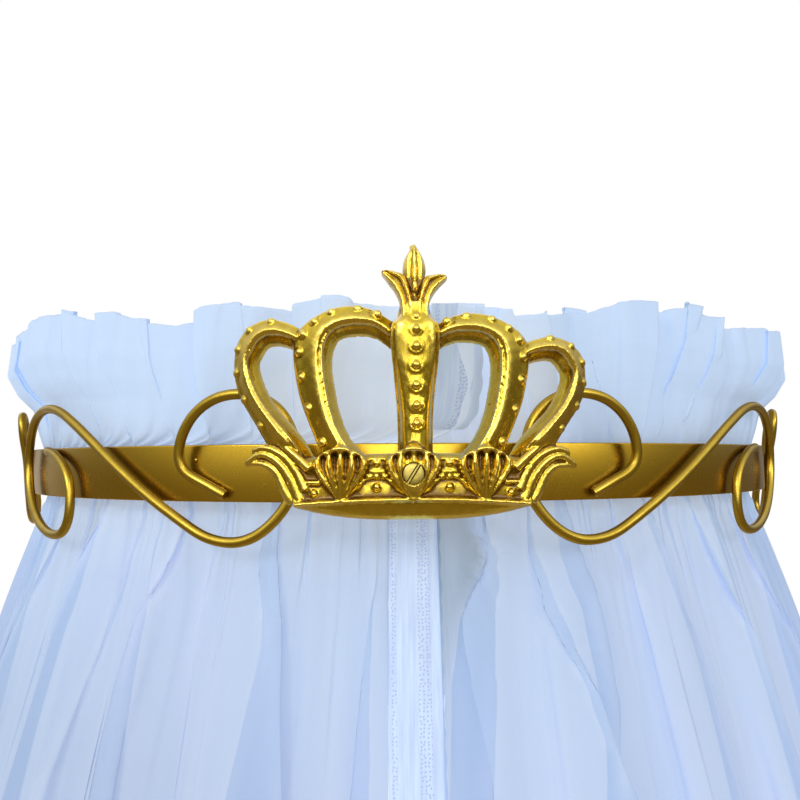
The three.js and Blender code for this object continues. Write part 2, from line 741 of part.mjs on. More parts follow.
// The cloth's middle radius as shares of the way from the rod to the band's outer face, and the
// depth of its folds as shares of the full fold, level by level.
const headerReachShares = [0.86, 0.86, 0.78, 0.5];
const headerFoldShares = [0.42, 0.36, 0.22, 0.2];
const headerOutsetShares = [0.85, 1, 0.1, 0];
const skirtReachShare = 0.5;
const pocketFoldShare = 0.17;
const topSkirtFoldShare = 0.2;
const levelPhaseShare = 0.12;
const driftPhaseShare = 0.2;

function foldWave(share, phase) {
  const turns = foldDriftTurns * share + driftPhaseShare * phase;
  const drift = foldDriftAngle * Math.sin(2 * Math.PI * turns);
  return Math.sin(2 * Math.PI * panelFolds * share + drift + phase);
}

function panelLevels() {
  const reach = bandRadius - rodRadius;
  const levels = [];
  headerLevelShares.forEach((share, place) => {
    const height = pocketTop + (headerHeight - pocketTop) * share;
    const middle = rodRadius + reach * headerReachShares[place];
    levels.push({
      height,
      front: middle + clothThickness / 2,
      back: middle - clothThickness / 2,
      fold: headerFoldShares[place],
      lean: headerOutsetWidth * headerOutsetShares[place],
    });
  });
  const halfPocket = rodDiameter / 2 + pocketBore + pocketWall;
  for (const height of [pocketTop, pocketBottom]) {
    levels.push({
      height,
      front: rodRadius + halfPocket,
      back: rodRadius - halfPocket,
      fold: pocketFoldShare,
      lean: 0,
    });
  }
  for (const share of skirtLevelShares) {
    const height = pocketBottom - (clothDrop + pocketBottom) * share;
    const below = Math.max(-height - clothOutsetTop, 0);
    const outset = clothOutsetWidth * (1 - Math.exp(-below / clothOutsetHeight));
    const middle = rodRadius + reach * skirtReachShare + outset;
    const opened = Math.min(share / fullFoldShare, 1);
    const fold = topSkirtFoldShare + (1 - topSkirtFoldShare) * opened;
    levels.push({
      height,
      front: middle + clothThickness / 2,
      back: middle - clothThickness / 2,
      fold,
      lean: 0,
    });
  }
  return levels;
}

// One upright section of a panel, from its front face down and back up its rear face.
function panelRing(levels, side, share) {
  const fronts = [];
  const backs = [];
  levels.forEach(({ height, front, back, fold, lean }, place) => {
    const from = side * panelSideAngle;
    const angle = from + (side * panelFrontOffset / front - from) * share;
    const sideways = THREE.MathUtils.smoothstep(Math.abs(angle), headerLeanFrom, headerLeanTo);
    const offset = foldWave(share, place * levelPhaseShare) * foldDepth * fold + lean * sideways;
    fronts.push(onRing(angle, front + offset, height));
    backs.push(onRing(angle, back + offset, height));
  });
  return [...fronts, ...backs.reverse()];
}

// A closed sheet through upright sections. Both walls are split along the same diagonal, so that a
// twisted stretch keeps its thickness.
function sheetSolid(rings) {
  const count = rings[0].length;
  const half = count / 2;
  const points = rings.flat();
  const faces = [];
  for (let ring = 0; ring + 1 < rings.length; ring += 1) {
    for (let side = 0; side < count; side += 1) {
      const next = (side + 1) % count;
      const low = ring * count;
      const high = low + count;
      if (side < half) {
        faces.push([low + side, low + next, high + next]);
        faces.push([low + side, high + next, high + side]);
      } else {
        faces.push([low + side, low + next, high + side]);
        faces.push([low + next, high + next, high + side]);
      }
    }
  }
  for (const [ring, turned] of [[0, true], [rings.length - 1, false]]) {
    for (let level = 0; level + 1 < half; level += 1) {
      const front = ring * count + level;
      const back = ring * count + count - 1 - level;
      const quad = [[front, front + 1, back - 1], [front, back - 1, back]];
      quad.forEach((face) => faces.push(turned ? face.slice().reverse() : face));
    }
  }
  return outwardGeometry(points, faces);
}

function makePanelSolid(side) {
  const boreRoute = [];
  for (let step = 0; step <= pocketSteps; step += 1) {
    boreRoute.push(onRing(side * rodEndAngle * step / pocketSteps, rodRadius, rodHeight));
  }
  const bore = rodAlong(boreRoute, rodDiameter + 2 * pocketBore, rodSides, upwards);
  const columns = panelFolds * panelColumnsPerFold;
  const levels = panelLevels();
  const rings = [];
  for (let column = 0; column <= columns; column += 1) {
    rings.push(panelRing(levels, side, column / columns));
  }
  return geometryOf(solidOf(sheetSolid(rings)).subtract(solidOf(bore)));
}

// The lace is sewn along the left panel's front edge and follows it down from the pocket.
function makeLace() {
  const levels = panelLevels();
  const reach = panelFrontOffset - fitGap;
  const rings = [];
  for (let column = 0; column <= laceColumns; column += 1) {
    const fronts = [];
    const backs = [];
    levels.forEach(({ height, front, back, fold }, place) => {
      if (height > laceTop) return;
      const offset = foldWave(1, place * levelPhaseShare) * foldDepth * fold;
      const middle = (front + back) / 2 + offset;
      const angle = reach * (2 * column / laceColumns - 1) / middle;
      fronts.push(onRing(angle, middle + laceThickness / 2, height));
      backs.push(onRing(angle, middle - laceThickness / 2, height));
    });
    rings.push([...fronts, ...backs.reverse()]);
  }
  return sheetSolid(rings);
}

// Assembly

const canopy = new THREE.Group();
const ring = new THREE.Group();
ring.position.set(0, ringCentreY, 0);
canopy.add(ring);

canopy.add(meshOf('half_round_band', makeBand(), goldPaint));
for (const [name, side] of [['left', -1], ['right', 1]]) {
  const front = makeScroll(
    frontScrollShares, frontScrollStart, frontScrollLength, frontScrollHeight, frontScrollSteps, side);
  ring.add(meshOf(`front_scroll_${name}`, front, goldPaint));
  const sideways = makeScroll(
    sideScrollShares, sideScrollStart, sideScrollLength, sideScrollHeight, sideScrollSteps, side);
  ring.add(meshOf(`side_scroll_${name}`, sideways, goldPaint));
}
ring.add(meshOf('crown_casting', makeCrown(), castGold));
ring.add(meshOf('crown_spacer', makeSpacer(), goldPaint));
ring.add(meshOf('crown_screw', makeScrew(), slottedBrass));
ring.add(meshOf('crown_washer', makeWasher(), zincSteel));
ring.add(meshOf('crown_nut', makeNut(), zincSteel));
ring.add(meshOf('rod_hook_front', makeFrontHook(), goldPaint));
ring.add(meshOf('rod_hook_left', makeHook(-hookSideAngle), goldPaint));
ring.add(meshOf('rod_hook_right', makeHook(hookSideAngle), goldPaint));
ring.add(meshOf('curtain_rod', makeRod(), zincSteel));
ring.add(meshOf('curtain_panel_left', makePanelSolid(-1), voile));
ring.add(meshOf('curtain_panel_right', makePanelSolid(1), voile));
ring.add(meshOf('lace_trim', makeLace(), lace));

export default canopy;
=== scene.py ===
import math

import bpy
import numpy as np
from mathutils import Matrix, Vector


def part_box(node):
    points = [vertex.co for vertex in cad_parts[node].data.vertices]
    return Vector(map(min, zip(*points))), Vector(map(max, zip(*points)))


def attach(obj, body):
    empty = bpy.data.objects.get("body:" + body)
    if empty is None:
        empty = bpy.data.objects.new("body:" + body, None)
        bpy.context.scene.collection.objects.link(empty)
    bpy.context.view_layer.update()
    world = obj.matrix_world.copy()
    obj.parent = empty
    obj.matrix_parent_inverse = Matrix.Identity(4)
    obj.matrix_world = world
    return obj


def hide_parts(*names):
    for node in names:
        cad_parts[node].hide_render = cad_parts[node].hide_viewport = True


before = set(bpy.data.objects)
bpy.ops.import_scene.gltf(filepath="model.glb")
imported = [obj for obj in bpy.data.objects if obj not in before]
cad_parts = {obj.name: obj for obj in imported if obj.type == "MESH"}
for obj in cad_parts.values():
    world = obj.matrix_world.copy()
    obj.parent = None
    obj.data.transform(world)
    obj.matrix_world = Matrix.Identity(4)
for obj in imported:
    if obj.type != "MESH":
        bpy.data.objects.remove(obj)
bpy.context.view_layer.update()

# ---------------------------------------------------------------------------------------------
# The room: a pale studio. A camera stands in front of the crown at the height of the band, two soft
# boxes and the room's own bright patches light the metal, and a pale floor lies below the hem.

scene = bpy.context.scene
scene.view_settings.view_transform = "Standard"

turn_right = math.radians(1.33)
look_up = math.radians(4.26)
roll = math.radians(0.34)
camera_place = (-0.0129, -0.6141, 0.0055)
ahead = Vector((
    math.sin(turn_right) * math.cos(look_up), math.cos(turn_right) * math.cos(look_up), math.sin(look_up)))
level_right = Vector((math.cos(turn_right), -math.sin(turn_right), 0))
level_up = level_right.cross(ahead)
camera_right = level_right * math.cos(roll) - level_up * math.sin(roll)
camera_up = level_right * math.sin(roll) + level_up * math.cos(roll)
camera_data = bpy.data.cameras.new("camera")
camera_data.sensor_width = 36
camera_data.lens = 36.36
camera_data.clip_start = 0.02
camera = bpy.data.objects.new("camera", camera_data)
camera.matrix_world = Matrix((
    *zip(camera_right, camera_up, -ahead, camera_place),
    (0, 0, 0, 1),
))
scene.collection.objects.link(camera)
scene.camera = camera


def soft_lamp(name, place, aim, width, height, watts, colour):
    """A rectangular soft box at a place, turned towards its aim."""
    data = bpy.data.lights.new(name, "AREA")
    data.shape = "RECTANGLE"
    data.size = width
    data.size_y = height
    data.energy = watts
    data.color = colour
    lamp = bpy.data.objects.new(name, data)
    lamp.location = place
    lamp.rotation_euler = (Vector(aim) - Vector(place)).to_track_quat("-Z", "Y").to_euler()
    lamp.visible_camera = False
    scene.collection.objects.link(lamp)


soft_lamp("left_soft_box", (-1.15, -1.5, 0.95), (0, -0.25, 0), 0.45, 0.45, 4.2, (1, 0.98, 0.95))
soft_lamp("right_soft_box", (1.25, -1.35, 0.6), (0, -0.25, 0), 0.35, 0.5, 2.2, (0.97, 0.98, 1))


def feed(tree, node, inputs):
    """Fills a node's inputs, by name or number, with plain values or other nodes' outputs."""
    for key, value in inputs.items():
        if isinstance(value, bpy.types.NodeSocket):
            tree.links.new(value, node.inputs[key])
        else:
            node.inputs[key].default_value = value


def node_of(tree, kind, inputs=(), **settings):
    """A new node with its properties set and its inputs fed."""
    node = tree.nodes.new(kind)
    for key, value in settings.items():
        setattr(node, key, value)
    feed(tree, node, dict(inputs))
    return node


def math_of(tree, operation, *values):
    """A Math node's output; each operand is a number or another node's output."""
    return node_of(tree, "ShaderNodeMath", enumerate(values), operation=operation).outputs[0]


def vector_of(tree, operation, *values):
    """A Vector Math node's output, a number for the operations that give one."""
    node = node_of(tree, "ShaderNodeVectorMath", enumerate(values), operation=operation)
    return node.outputs["Value" if operation in ("DOT_PRODUCT", "LENGTH") else "Vector"]


def mix_of(tree, share, first, second):
    """A mix of two colours by the share of the second."""
    return node_of(tree, "ShaderNodeMix", {0: share, 6: first, 7: second}, data_type="RGBA").outputs[2]


def range_of(tree, value, from_low, from_high, to_low=0.0, to_high=1.0, smooth=False):
    """A value carried from one range to another and held inside it."""
    ends = {"Value": value, "From Min": from_low, "From Max": from_high, "To Min": to_low, "To Max": to_high}
    easing = "SMOOTHSTEP" if smooth else "LINEAR"
    return node_of(tree, "ShaderNodeMapRange", ends, interpolation_type=easing).outputs[0]


world = bpy.data.worlds.new("pale_studio")
scene.world = world
world.use_nodes = True
tree = world.node_tree
tree.nodes.clear()
way = tree.nodes.new("ShaderNodeTexCoord").outputs["Generated"]
way_parts = node_of(tree, "ShaderNodeSeparateXYZ", {0: way}).outputs


def glow(direction, width, strength):
    """A soft bright patch of the room round a direction: the cosine to it raised to a power."""
    meet = vector_of(tree, "DOT_PRODUCT", way, Vector(direction).normalized())
    cosine = math_of(tree, "MAXIMUM", meet, 0.0)
    return math_of(tree, "MULTIPLY", math_of(tree, "POWER", cosine, width), strength)


height_share = math_of(tree, "MULTIPLY_ADD", way_parts["Z"], 0.5, 0.5)
height_ramp = node_of(tree, "ShaderNodeValToRGB", {0: height_share})
stops = height_ramp.color_ramp.elements
stops[0].position, stops[0].color = 0.30, (0.25, 0.18, 0.085, 1)
stops[1].position, stops[1].color = 0.47, (0.14, 0.11, 0.07, 1)
for position, colour in ((0.53, (0.19, 0.175, 0.14)), (0.60, (0.36, 0.35, 0.33)), (0.75, (0.72, 0.71, 0.68)),
                         (0.95, (0.9, 0.9, 0.88))):
    stops.new(position).color = (*colour, 1)
room = glow((-0.62, -0.6, 0.5), 12, 1.4)
for direction, width, strength in (
        ((0.66, -0.55, 0.45), 16, 1.2), ((0.0, -0.93, 0.3), 26, 1.9), ((-0.3, 0.95, 0.1), 3, 0.5),
        ((-0.42, -0.8, 0.42), 150, 9.0), ((0.5, -0.75, 0.4), 170, 7.0), ((0.03, -0.97, 0.22), 220, 7.0),
        ((-0.22, -0.97, 0.03), 120, 3.0), ((0.26, -0.96, 0.03), 120, 3.0)):
    room = math_of(tree, "ADD", room, glow(direction, width, strength))
seen_room = vector_of(tree, "ADD", height_ramp.outputs[0], room)
daylight_level = 0.64
daylight_slopes = (("Z", 0.05), ("X", -0.16), ("Y", -0.16))
daylight = daylight_level
for axis, share in daylight_slopes:
    daylight = math_of(tree, "MULTIPLY_ADD", way_parts[axis], share, daylight)
rays = tree.nodes.new("ShaderNodeLightPath").outputs
mirror_rays = math_of(tree, "MAXIMUM", rays["Is Glossy Ray"], rays["Is Transmission Ray"])
lit = mix_of(tree, mirror_rays, daylight, seen_room)
shown = mix_of(tree, rays["Is Camera Ray"], lit, (1, 1, 1, 1))
background = node_of(tree, "ShaderNodeBackground", {0: shown})
node_of(tree, "ShaderNodeOutputWorld", {0: background.outputs[0]})


def bare_material(name):
    """A material, its node tree and its Principled shader."""
    material = bpy.data.materials.new(name)
    material.use_nodes = True
    return material, material.node_tree, material.node_tree.nodes["Principled BSDF"]


floor_radius = 1.5
floor_height = -1.76
floor_sides = 96
floor_fade_start = 2.0
floor_fade_end = 2.31
floor_mesh = bpy.data.meshes.new("pale_floor")
turns = np.linspace(0, 2 * np.pi, floor_sides, endpoint=False)
rim = np.stack([floor_radius * np.cos(turns), floor_radius * np.sin(turns), 0 * turns + floor_height], -1)
floor_mesh.from_pydata(rim.tolist(), [], [list(range(floor_sides))])
pale_floor = bpy.data.objects.new("pale_floor", floor_mesh)
scene.collection.objects.link(pale_floor)
paint, tree, shader = bare_material("pale_floor_paint")
feed(tree, shader, {"Base Color": (0.86, 0.86, 0.86, 1), "Roughness": 0.9})
reach = vector_of(tree, "LENGTH", tree.nodes.new("ShaderNodeTexCoord").outputs["Object"])
fade = range_of(tree, reach, floor_fade_start, floor_fade_end, smooth=True)
mirrored = tree.nodes.new("ShaderNodeLightPath").outputs["Is Glossy Ray"]
clear = tree.nodes.new("ShaderNodeBsdfTransparent")
blend = node_of(tree, "ShaderNodeMixShader", {
    0: math_of(tree, "MAXIMUM", fade, mirrored), 1: shader.outputs[0], 2: clear.outputs[0]})
feed(tree, tree.nodes["Material Output"], {"Surface": blend.outputs[0]})
floor_mesh.materials.append(paint)

# ---------------------------------------------------------------------------------------------
# The half-round band: one steel flat bar, 26.2 by 3.2 mm, rolled to a half ring of 250 mm radius.
# Its ends are bent outwards into wall ears with a drilled hole each, and it is sprayed with gold
# paint, a semi-gloss coat with a slight orange peel.

band_radius = 250.0
band_thickness = 3.2
band_height = 26.2
band_bend_radius = 4.6
band_edge_radius = 0.7
ear_length = 25.0
ear_hole_diameter = 5.5
ear_hole_inset = 10.0
screw_hole_diameter = 5.3
bend_steps = 14
ring_steps = 361
ear_steps = 11
ring_centre = -(band_bend_radius + band_thickness / 2)


def grid_quads(rows, columns, around=False):
    """Quads of a grid of points: each point with its right, upper right and upper neighbour.
    around joins the last column to the first."""
    index = np.arange(rows * columns).reshape(rows, columns)
    right = np.roll(index, -1, axis=1)
    if not around:
        index, right = index[:, :-1], right[:, :-1]
    return np.stack([index[:-1], right[:-1], right[1:], index[1:]], -1).reshape(-1, 4)


def loft(rings):
    """A closed solid through rings of equal count: quads between neighbouring rings and a fan from
    the mean of each end ring, turned so that the solid's signed volume is positive."""
    rows, count = rings.shape[:2]
    points = np.vstack([rings.reshape(-1, 3), rings[:1].mean(1), rings[-1:].mean(1)])
    here = np.arange(count)
    after = np.roll(here, -1)
    last = (rows - 1) * count
    start_fan = np.stack([after, here, np.full(count, rows * count)], -1)
    end_fan = np.stack([last + here, last + after, np.full(count, rows * count + 1)], -1)
    faces = [grid_quads(rows, count, around=True), start_fan, end_fan]
    corners = np.vstack([faces[0][:, [0, 1, 2]], faces[0][:, [0, 2, 3]], start_fan, end_fan])
    a, b, c = (points[corners[:, k]] for k in range(3))
    if np.einsum("ij,ij->i", a, np.cross(b, c)).sum() < 0:
        faces = [face[:, ::-1] for face in faces]
    return points, faces


def piece_of(name, parts, sharp_from=40):
    """One object from several lofts, its points turned from millimetres into metres, shaded smooth
    but for edges that turn by more than the given angle."""
    points, faces, start = [], [], 0
    for part_points, part_faces in parts:
        points.append(part_points)
        faces.extend((face + start).tolist() for face in part_faces)
        start += len(part_points)
    mesh = bpy.data.meshes.new(name)
    mesh.from_pydata((np.vstack(points) * 0.001).tolist(), [], sum(faces, []))
    mesh.shade_smooth()
    mesh.set_sharp_from_angle(angle=math.radians(sharp_from))
    thing = bpy.data.objects.new(name, mesh)
    scene.collection.objects.link(thing)
    return thing


def swept(path, outwards, profile):
    """Rings of a profile (out, up) carried along a level path: each point is the path's point plus
    out times the path's outward direction, at height up."""
    rings = np.zeros((len(path), len(profile), 3))
    rings[..., :2] = path[:, None] + outwards[:, None] * profile[None, :, :1]
    rings[..., 2] = profile[None, :, 1]
    return rings


def turn_points(centre, radius, start, end, count):
    """Points and outward directions on an arc about a centre, at evenly spaced angles in degrees."""
    angles = np.radians(np.linspace(start, end, count))
    outwards = np.stack([np.cos(angles), np.sin(angles)], -1)
    return np.asarray(centre) + radius * outwards, outwards


bend_x = band_radius - band_thickness / 2 + band_bend_radius
ear_end = bend_x + ear_length
right_bend, right_out = turn_points((bend_x, ring_centre), band_bend_radius, 90, 180, bend_steps)
ring_points, ring_out = turn_points((0, ring_centre), band_radius - band_thickness / 2, 0, -180, ring_steps)
left_bend, left_out = turn_points((-bend_x, ring_centre), band_bend_radius, 0, 90, bend_steps)
ear_places = np.linspace(ear_end, bend_x, ear_steps, endpoint=False)
right_ear = np.stack([ear_places, np.full(ear_steps, -band_thickness / 2)], -1)
left_ear = (right_ear * (-1, 1))[::-1]
band_path = np.vstack([right_ear, right_bend[:-1], ring_points[1:-1], left_bend[1:], left_ear])
ear_out = np.tile((0, -1), (ear_steps, 1))
band_out = np.vstack([ear_out, -right_out[:-1], ring_out[1:-1], -left_out[1:], ear_out])
corner_turns = np.radians(np.linspace(0, 90, 5))
corner = np.stack([np.cos(corner_turns), np.sin(corner_turns)], -1) * band_edge_radius
half_t = band_thickness / 2 - band_edge_radius
half_h = band_height / 2 - band_edge_radius
bar_profile = np.vstack([
    corner + (half_t, half_h),
    (corner * (-1, 1))[::-1] + (-half_t, half_h),
    corner * (-1, -1) + (-half_t, -half_h),
    (corner * (1, -1))[::-1] + (half_t, -half_h),
])
band = piece_of("half_round_band_bar", [loft(swept(band_path, band_out, bar_profile))], 30)


def cut_away(thing, first, from_y, second, to_y):
    """Subtracts a loft along Y from a piece, between two outlines drawn flat as (x, z)."""
    rings = [np.insert(first, 1, from_y, axis=1), np.insert(second, 1, to_y, axis=1)]
    cutter = piece_of("cutter", [loft(np.stack(rings))])
    cut = thing.modifiers.new("cut", "BOOLEAN")
    cut.operation = "DIFFERENCE"
    cut.solver = "EXACT"
    cut.object = cutter
    keep_shape(thing)
    bpy.data.objects.remove(cutter)


def drill(thing, x, diameter, from_y, to_y, sides=40):
    """Cuts a round hole along Y, at the middle of the band's height."""
    angles = np.linspace(0, 2 * np.pi, sides, endpoint=False)
    circle = np.stack([x + diameter / 2 * np.cos(angles), diameter / 2 * np.sin(angles)], -1)
    cut_away(thing, circle, from_y, circle, to_y)


def keep_shape(thing):
    """Applies the piece's modifiers: the evaluated mesh takes the place of its own."""
    seen_mesh = thing.evaluated_get(bpy.context.evaluated_depsgraph_get())
    mesh = bpy.data.meshes.new_from_object(seen_mesh)
    thing.modifiers.clear()
    thing.data = mesh


for hole_x in (-ear_end + ear_hole_inset, ear_end - ear_hole_inset):
    drill(band, hole_x, ear_hole_diameter, -8, 3)
drill(band, 0, screw_hole_diameter, ring_centre - band_radius - 4, ring_centre - band_radius + 8)
band.data.set_sharp_from_angle(angle=math.radians(30))


def group_of(name, inputs, outputs):
    """A shader node group, its inputs named with their values and its outputs with their kinds;
    returns the group, the sockets that its inputs come from and its output node."""
    group = bpy.data.node_groups.new(name, "ShaderNodeTree")
    for socket, value in inputs.items():
        kind = "NodeSocketColor" if isinstance(value, tuple) else "NodeSocketFloat"
        group.interface.new_socket(socket, in_out="INPUT", socket_type=kind).default_value = value
    for socket, kind in outputs.items():
        group.interface.new_socket(socket, in_out="OUTPUT", socket_type=kind)
    return group, group.nodes.new("NodeGroupInput").outputs, group.nodes.new("NodeGroupOutput")


# Spray coat: broad patches and fine specks move a paint between a deep and a light tone.
spray, given, spray_out = group_of(
    "gold_spray_coat",
    {"Scale": 60.0, "Deep": (0, 0, 0, 1), "Light": (1, 1, 1, 1), "Smooth": 0.2, "Rough": 0.4},
    {"Color": "NodeSocketColor", "Roughness": "NodeSocketFloat", "Height": "NodeSocketFloat"})
where = spray.nodes.new("ShaderNodeTexCoord").outputs["Object"]
patches = node_of(spray, "ShaderNodeTexNoise", {
    "Vector": where, "Scale": given["Scale"], "Detail": 3.0, "Roughness": 0.55})
specks = node_of(spray, "ShaderNodeTexNoise", {
    "Vector": where, "Scale": math_of(spray, "MULTIPLY", given["Scale"], 22.0), "Detail": 2.0})
both = node_of(spray, "ShaderNodeMix", {
    0: 0.35, 2: patches.outputs["Fac"], 3: specks.outputs["Fac"]}).outputs[0]
share = range_of(spray, both, 0.34, 0.66)
feed(spray, spray_out, {
    "Color": mix_of(spray, share, given["Deep"], given["Light"]),
    "Roughness": range_of(spray, share, 0.0, 1.0, given["Rough"], given["Smooth"]),
    "Height": both})


def relief(tree, shader, height, strength, distance):
    """Feeds a height through a Bump node into the shader's normal."""
    bump = node_of(tree, "ShaderNodeBump", {"Strength": strength, "Distance": distance, "Height": height})
    feed(tree, shader, {"Normal": bump.outputs[0]})


def coated_metal(name, scale, deep, light, smooth, rough, bump, distance=0.0002):
    """A metal whose colour, gloss and relief come from the spray coat; returns the material, its
    node tree, its shader and the coat's outputs."""
    material, tree, shader = bare_material(name)
    values = {"Scale": scale, "Deep": (*deep, 1), "Light": (*light, 1), "Smooth": smooth, "Rough": rough}
    coat = node_of(tree, "ShaderNodeGroup", values, node_tree=spray).outputs
    feed(tree, shader, {"Base Color": coat["Color"], "Roughness": coat["Roughness"], "Metallic": 1.0})
    relief(tree, shader, coat["Height"], bump, distance)
    return material, tree, shader, coat


def sprayed_gold(name, scale, deep, light, smooth, rough, bump):
    """Gold paint on steel under a thin gloss. In another piece's gloss its colour is painted dark
    brown, a painted dark reflection."""
    material, tree, shader, coat = coated_metal(name, scale, deep, light, smooth, rough, bump)
    # Painted dark reflection: in rays from another piece's gloss the colour is painted dark brown.
    mirrored = tree.nodes.new("ShaderNodeLightPath").outputs["Is Glossy Ray"]
    feed(tree, shader, {
        "Base Color": mix_of(tree, mirrored, coat["Color"], (0.25, 0.145, 0.012, 1)),
        "Coat Weight": 0.3, "Coat Roughness": 0.2})
    return material


def finish_with(thing, material):
    """Gives a piece its one finish, in place of any other."""
    thing.data.materials.clear()
    thing.data.materials.append(material)


band_gold = sprayed_gold(
    "band_gold_paint", 14.0, (0.52, 0.315, 0.016), (0.60, 0.38, 0.024), 0.24, 0.31, 0.015)
finish_with(band, band_gold)
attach(band, "frame")
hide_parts("half_round_band")

# ---------------------------------------------------------------------------------------------
# The scrolls: round steel rod, 4.8 mm, bent cold over a jig into S scrolls and welded to the band
# at both ends, then painted with it. The bends leave slight flats, which break up the highlights.

scroll_rod_radius = 2.4
scroll_gap = 0.3
scroll_lift = 5.2
front_scroll_start = 48.6
front_scroll_length = 211.35
front_scroll_height = 35.4
side_scroll_start = 285.95
side_scroll_length = 70.0
side_scroll_height = 34.5
scroll_points_per_mm = 2.4
rod_flat_share = 0.022
rod_flat_spacing = 14
rod_chamfer = 0.5
rod_chamfer_share = 0.14
weld_radii = (2.1, 1.6, 1.9)
side_weld_radii = (1.2, 2.2, 1.9)
side_weld_from = 190
stray_weld_angle = np.radians(-23.3)
stray_weld_height = 6.1
stray_weld_radii = (1.0, 1.0, 1.0)

# Shares of a scroll's length along the band, of its height and of its lift off the band.
front_scroll_route = np.array([
    (0.17, -0.282, 0), (0.23, -0.102, 0.15), (0.269, 0.073, 0.5), (0.271, 0.367, 0.8),
    (0.238, 0.72, 0.95), (0.186, 0.938, 1), (0.13, 1, 1), (0.075, 0.938, 1), (0.032, 0.745, 1),
    (0.008, 0.46, 1), (0, 0.12, 1), (0.01, -0.24, 1), (0.05, -0.6, 1), (0.1, -0.808, 0.95),
    (0.15, -0.86, 0.9), (0.21, -0.79, 0.75), (0.27, -0.61, 0.6), (0.342, -0.373, 0.45),
    (0.456, 0.056, 0.45), (0.574, 0.503, 0.45), (0.66, 0.777, 0.45), (0.72, 0.912, 0.45),
    (0.787, 0.966, 0.45), (0.86, 0.904, 0.45), (0.923, 0.72, 0.45), (0.968, 0.42, 0.4),
    (0.985, 0.085, 0.35), (0.966, -0.254, 0.3), (0.913, -0.551, 0.3), (0.845, -0.78, 0.3),
    (0.778, -0.9, 0.3), (0.723, -0.915, 0.3), (0.683, -0.83, 0.3), (0.66, -0.62, 0.3),
    (0.656, -0.34, 0.3), (0.671, -0.056, 0.3), (0.708, 0.141, 0.25), (0.765, 0.28, 0.12),
    (0.825, 0.328, 0),
])
side_scroll_route = np.array([
    (0.4, 0.28, 0), (0.49, 0.17, 0.2), (0.57, 0.32, 0.45), (0.56, 0.6, 0.6), (0.45, 0.87, 0.7),
    (0.33, 1, 0.78), (0.22, 1, 0.82), (0.14, 0.87, 0.78), (0.15, 0.58, 0.58), (0.234, 0.2, 0.2),
    (0.352, -0.2, 0.08), (0.486, -0.56, 0.05), (0.64, -0.84, 0.1), (0.778, -0.96, 0.15),
    (0.88, -0.95, 0.15), (0.93, -0.8, 0.15), (0.91, -0.55, 0.12), (0.81, -0.32, 0.1),
    (0.7, -0.24, 0.06), (0.6, -0.34, 0),
])


def smooth_line(stops, count, even=True, fineness=60):
    """A natural cubic spline through the stops, each of whose steps is timed by the root of its
    length, or evenly. With even, its points are spread evenly along its length."""
    stops = np.asarray(stops, float)
    gaps = np.linalg.norm(np.diff(stops, axis=0), axis=1) ** 0.5 if even else np.ones(len(stops) - 1)
    times = np.concatenate([[0], np.cumsum(gaps)])
    matrix = np.eye(len(times))
    inner = np.arange(1, len(times) - 1)
    matrix[inner, inner - 1] = gaps[:-1]
    matrix[inner, inner] = 2 * (gaps[:-1] + gaps[1:])
    matrix[inner, inner + 1] = gaps[1:]
    slopes = np.diff(stops, axis=0) / gaps[:, None]
    bends = np.zeros_like(stops)
    bends[1:-1] = 6 * np.diff(slopes, axis=0)
    bends = np.linalg.solve(matrix, bends)

    def read(at):
        piece = np.clip(np.searchsorted(times, at, "right") - 1, 0, len(gaps) - 1)
        span = gaps[piece][:, None]
        before = (at - times[piece])[:, None]
        after = span - before
        return (
            bends[piece] * after ** 3 / (6 * span) + bends[piece + 1] * before ** 3 / (6 * span)
            + (stops[piece] / span - bends[piece] * span / 6) * after
            + (stops[piece + 1] / span - bends[piece + 1] * span / 6) * before)

    if not even:
        return read(np.linspace(0, times[-1], count))
    fine = np.linspace(0, times[-1], fineness * len(times))
    walked = np.concatenate([[0], np.cumsum(np.linalg.norm(np.diff(read(fine), axis=0), axis=1))])
    return read(np.interp(np.linspace(0, walked[-1], count), walked, fine))


def ripples(at, seed, lowest, count=5):
    """A smooth random line: sines of rising frequency and falling height with seeded phases."""
    rate_step, height_step, spread = 1.7, 1.35, (0.85, 1.15)
    dice = np.random.default_rng(seed)
    phases = dice.uniform(0, 2 * np.pi, count)
    rates = lowest * rate_step ** np.arange(count) * dice.uniform(*spread, count)
    heights = 1 / height_step ** np.arange(count)
    waves = np.sin(2 * np.pi * rates * np.asarray(at)[..., None] + phases) * heights
    return waves.sum(-1) / heights.sum()


def on_band(arc, radius, up):
    """The point at an arc length along the band's face from its front, at a radius and height."""
    angle = arc / band_radius
    return np.stack([radius * np.sin(angle), ring_centre - radius * np.cos(angle), up], -1)


def unit(vectors):
    """The vectors divided by their own lengths."""
    return vectors / np.linalg.norm(vectors, axis=-1, keepdims=True)


def bent_rod(route, radius, seed, sides=20):
    """Rings of a rod: at each point of the route a circle square to it, its radius moved by a few
    hundredths for the flats of cold bending, and closed by a small chamfer at both ends."""
    along = unit(np.gradient(route, axis=0))
    outwards = unit((route - (0, ring_centre, 0)) * (1, 1, 0))
    across = unit(np.cross(along, outwards))
    up = np.cross(across, along)
    turns = np.linspace(0, 2 * np.pi, sides, endpoint=False)
    walked = np.concatenate([[0], np.cumsum(np.linalg.norm(np.diff(route, axis=0), axis=1))])
    flats = 1 + rod_flat_share * ripples(walked[:, None] / rod_flat_spacing + np.cos(turns) * 0.3, seed, 0.5)
    tips = np.minimum(walked, walked[-1] - walked)
    ends = 1 - rod_chamfer_share * np.clip(1 - tips / rod_chamfer, 0, 1)
    circle = radius * flats * ends[:, None]
    return (
        route[:, None] + across[:, None] * (np.cos(turns) * circle)[..., None]
        + up[:, None] * (np.sin(turns) * circle)[..., None])


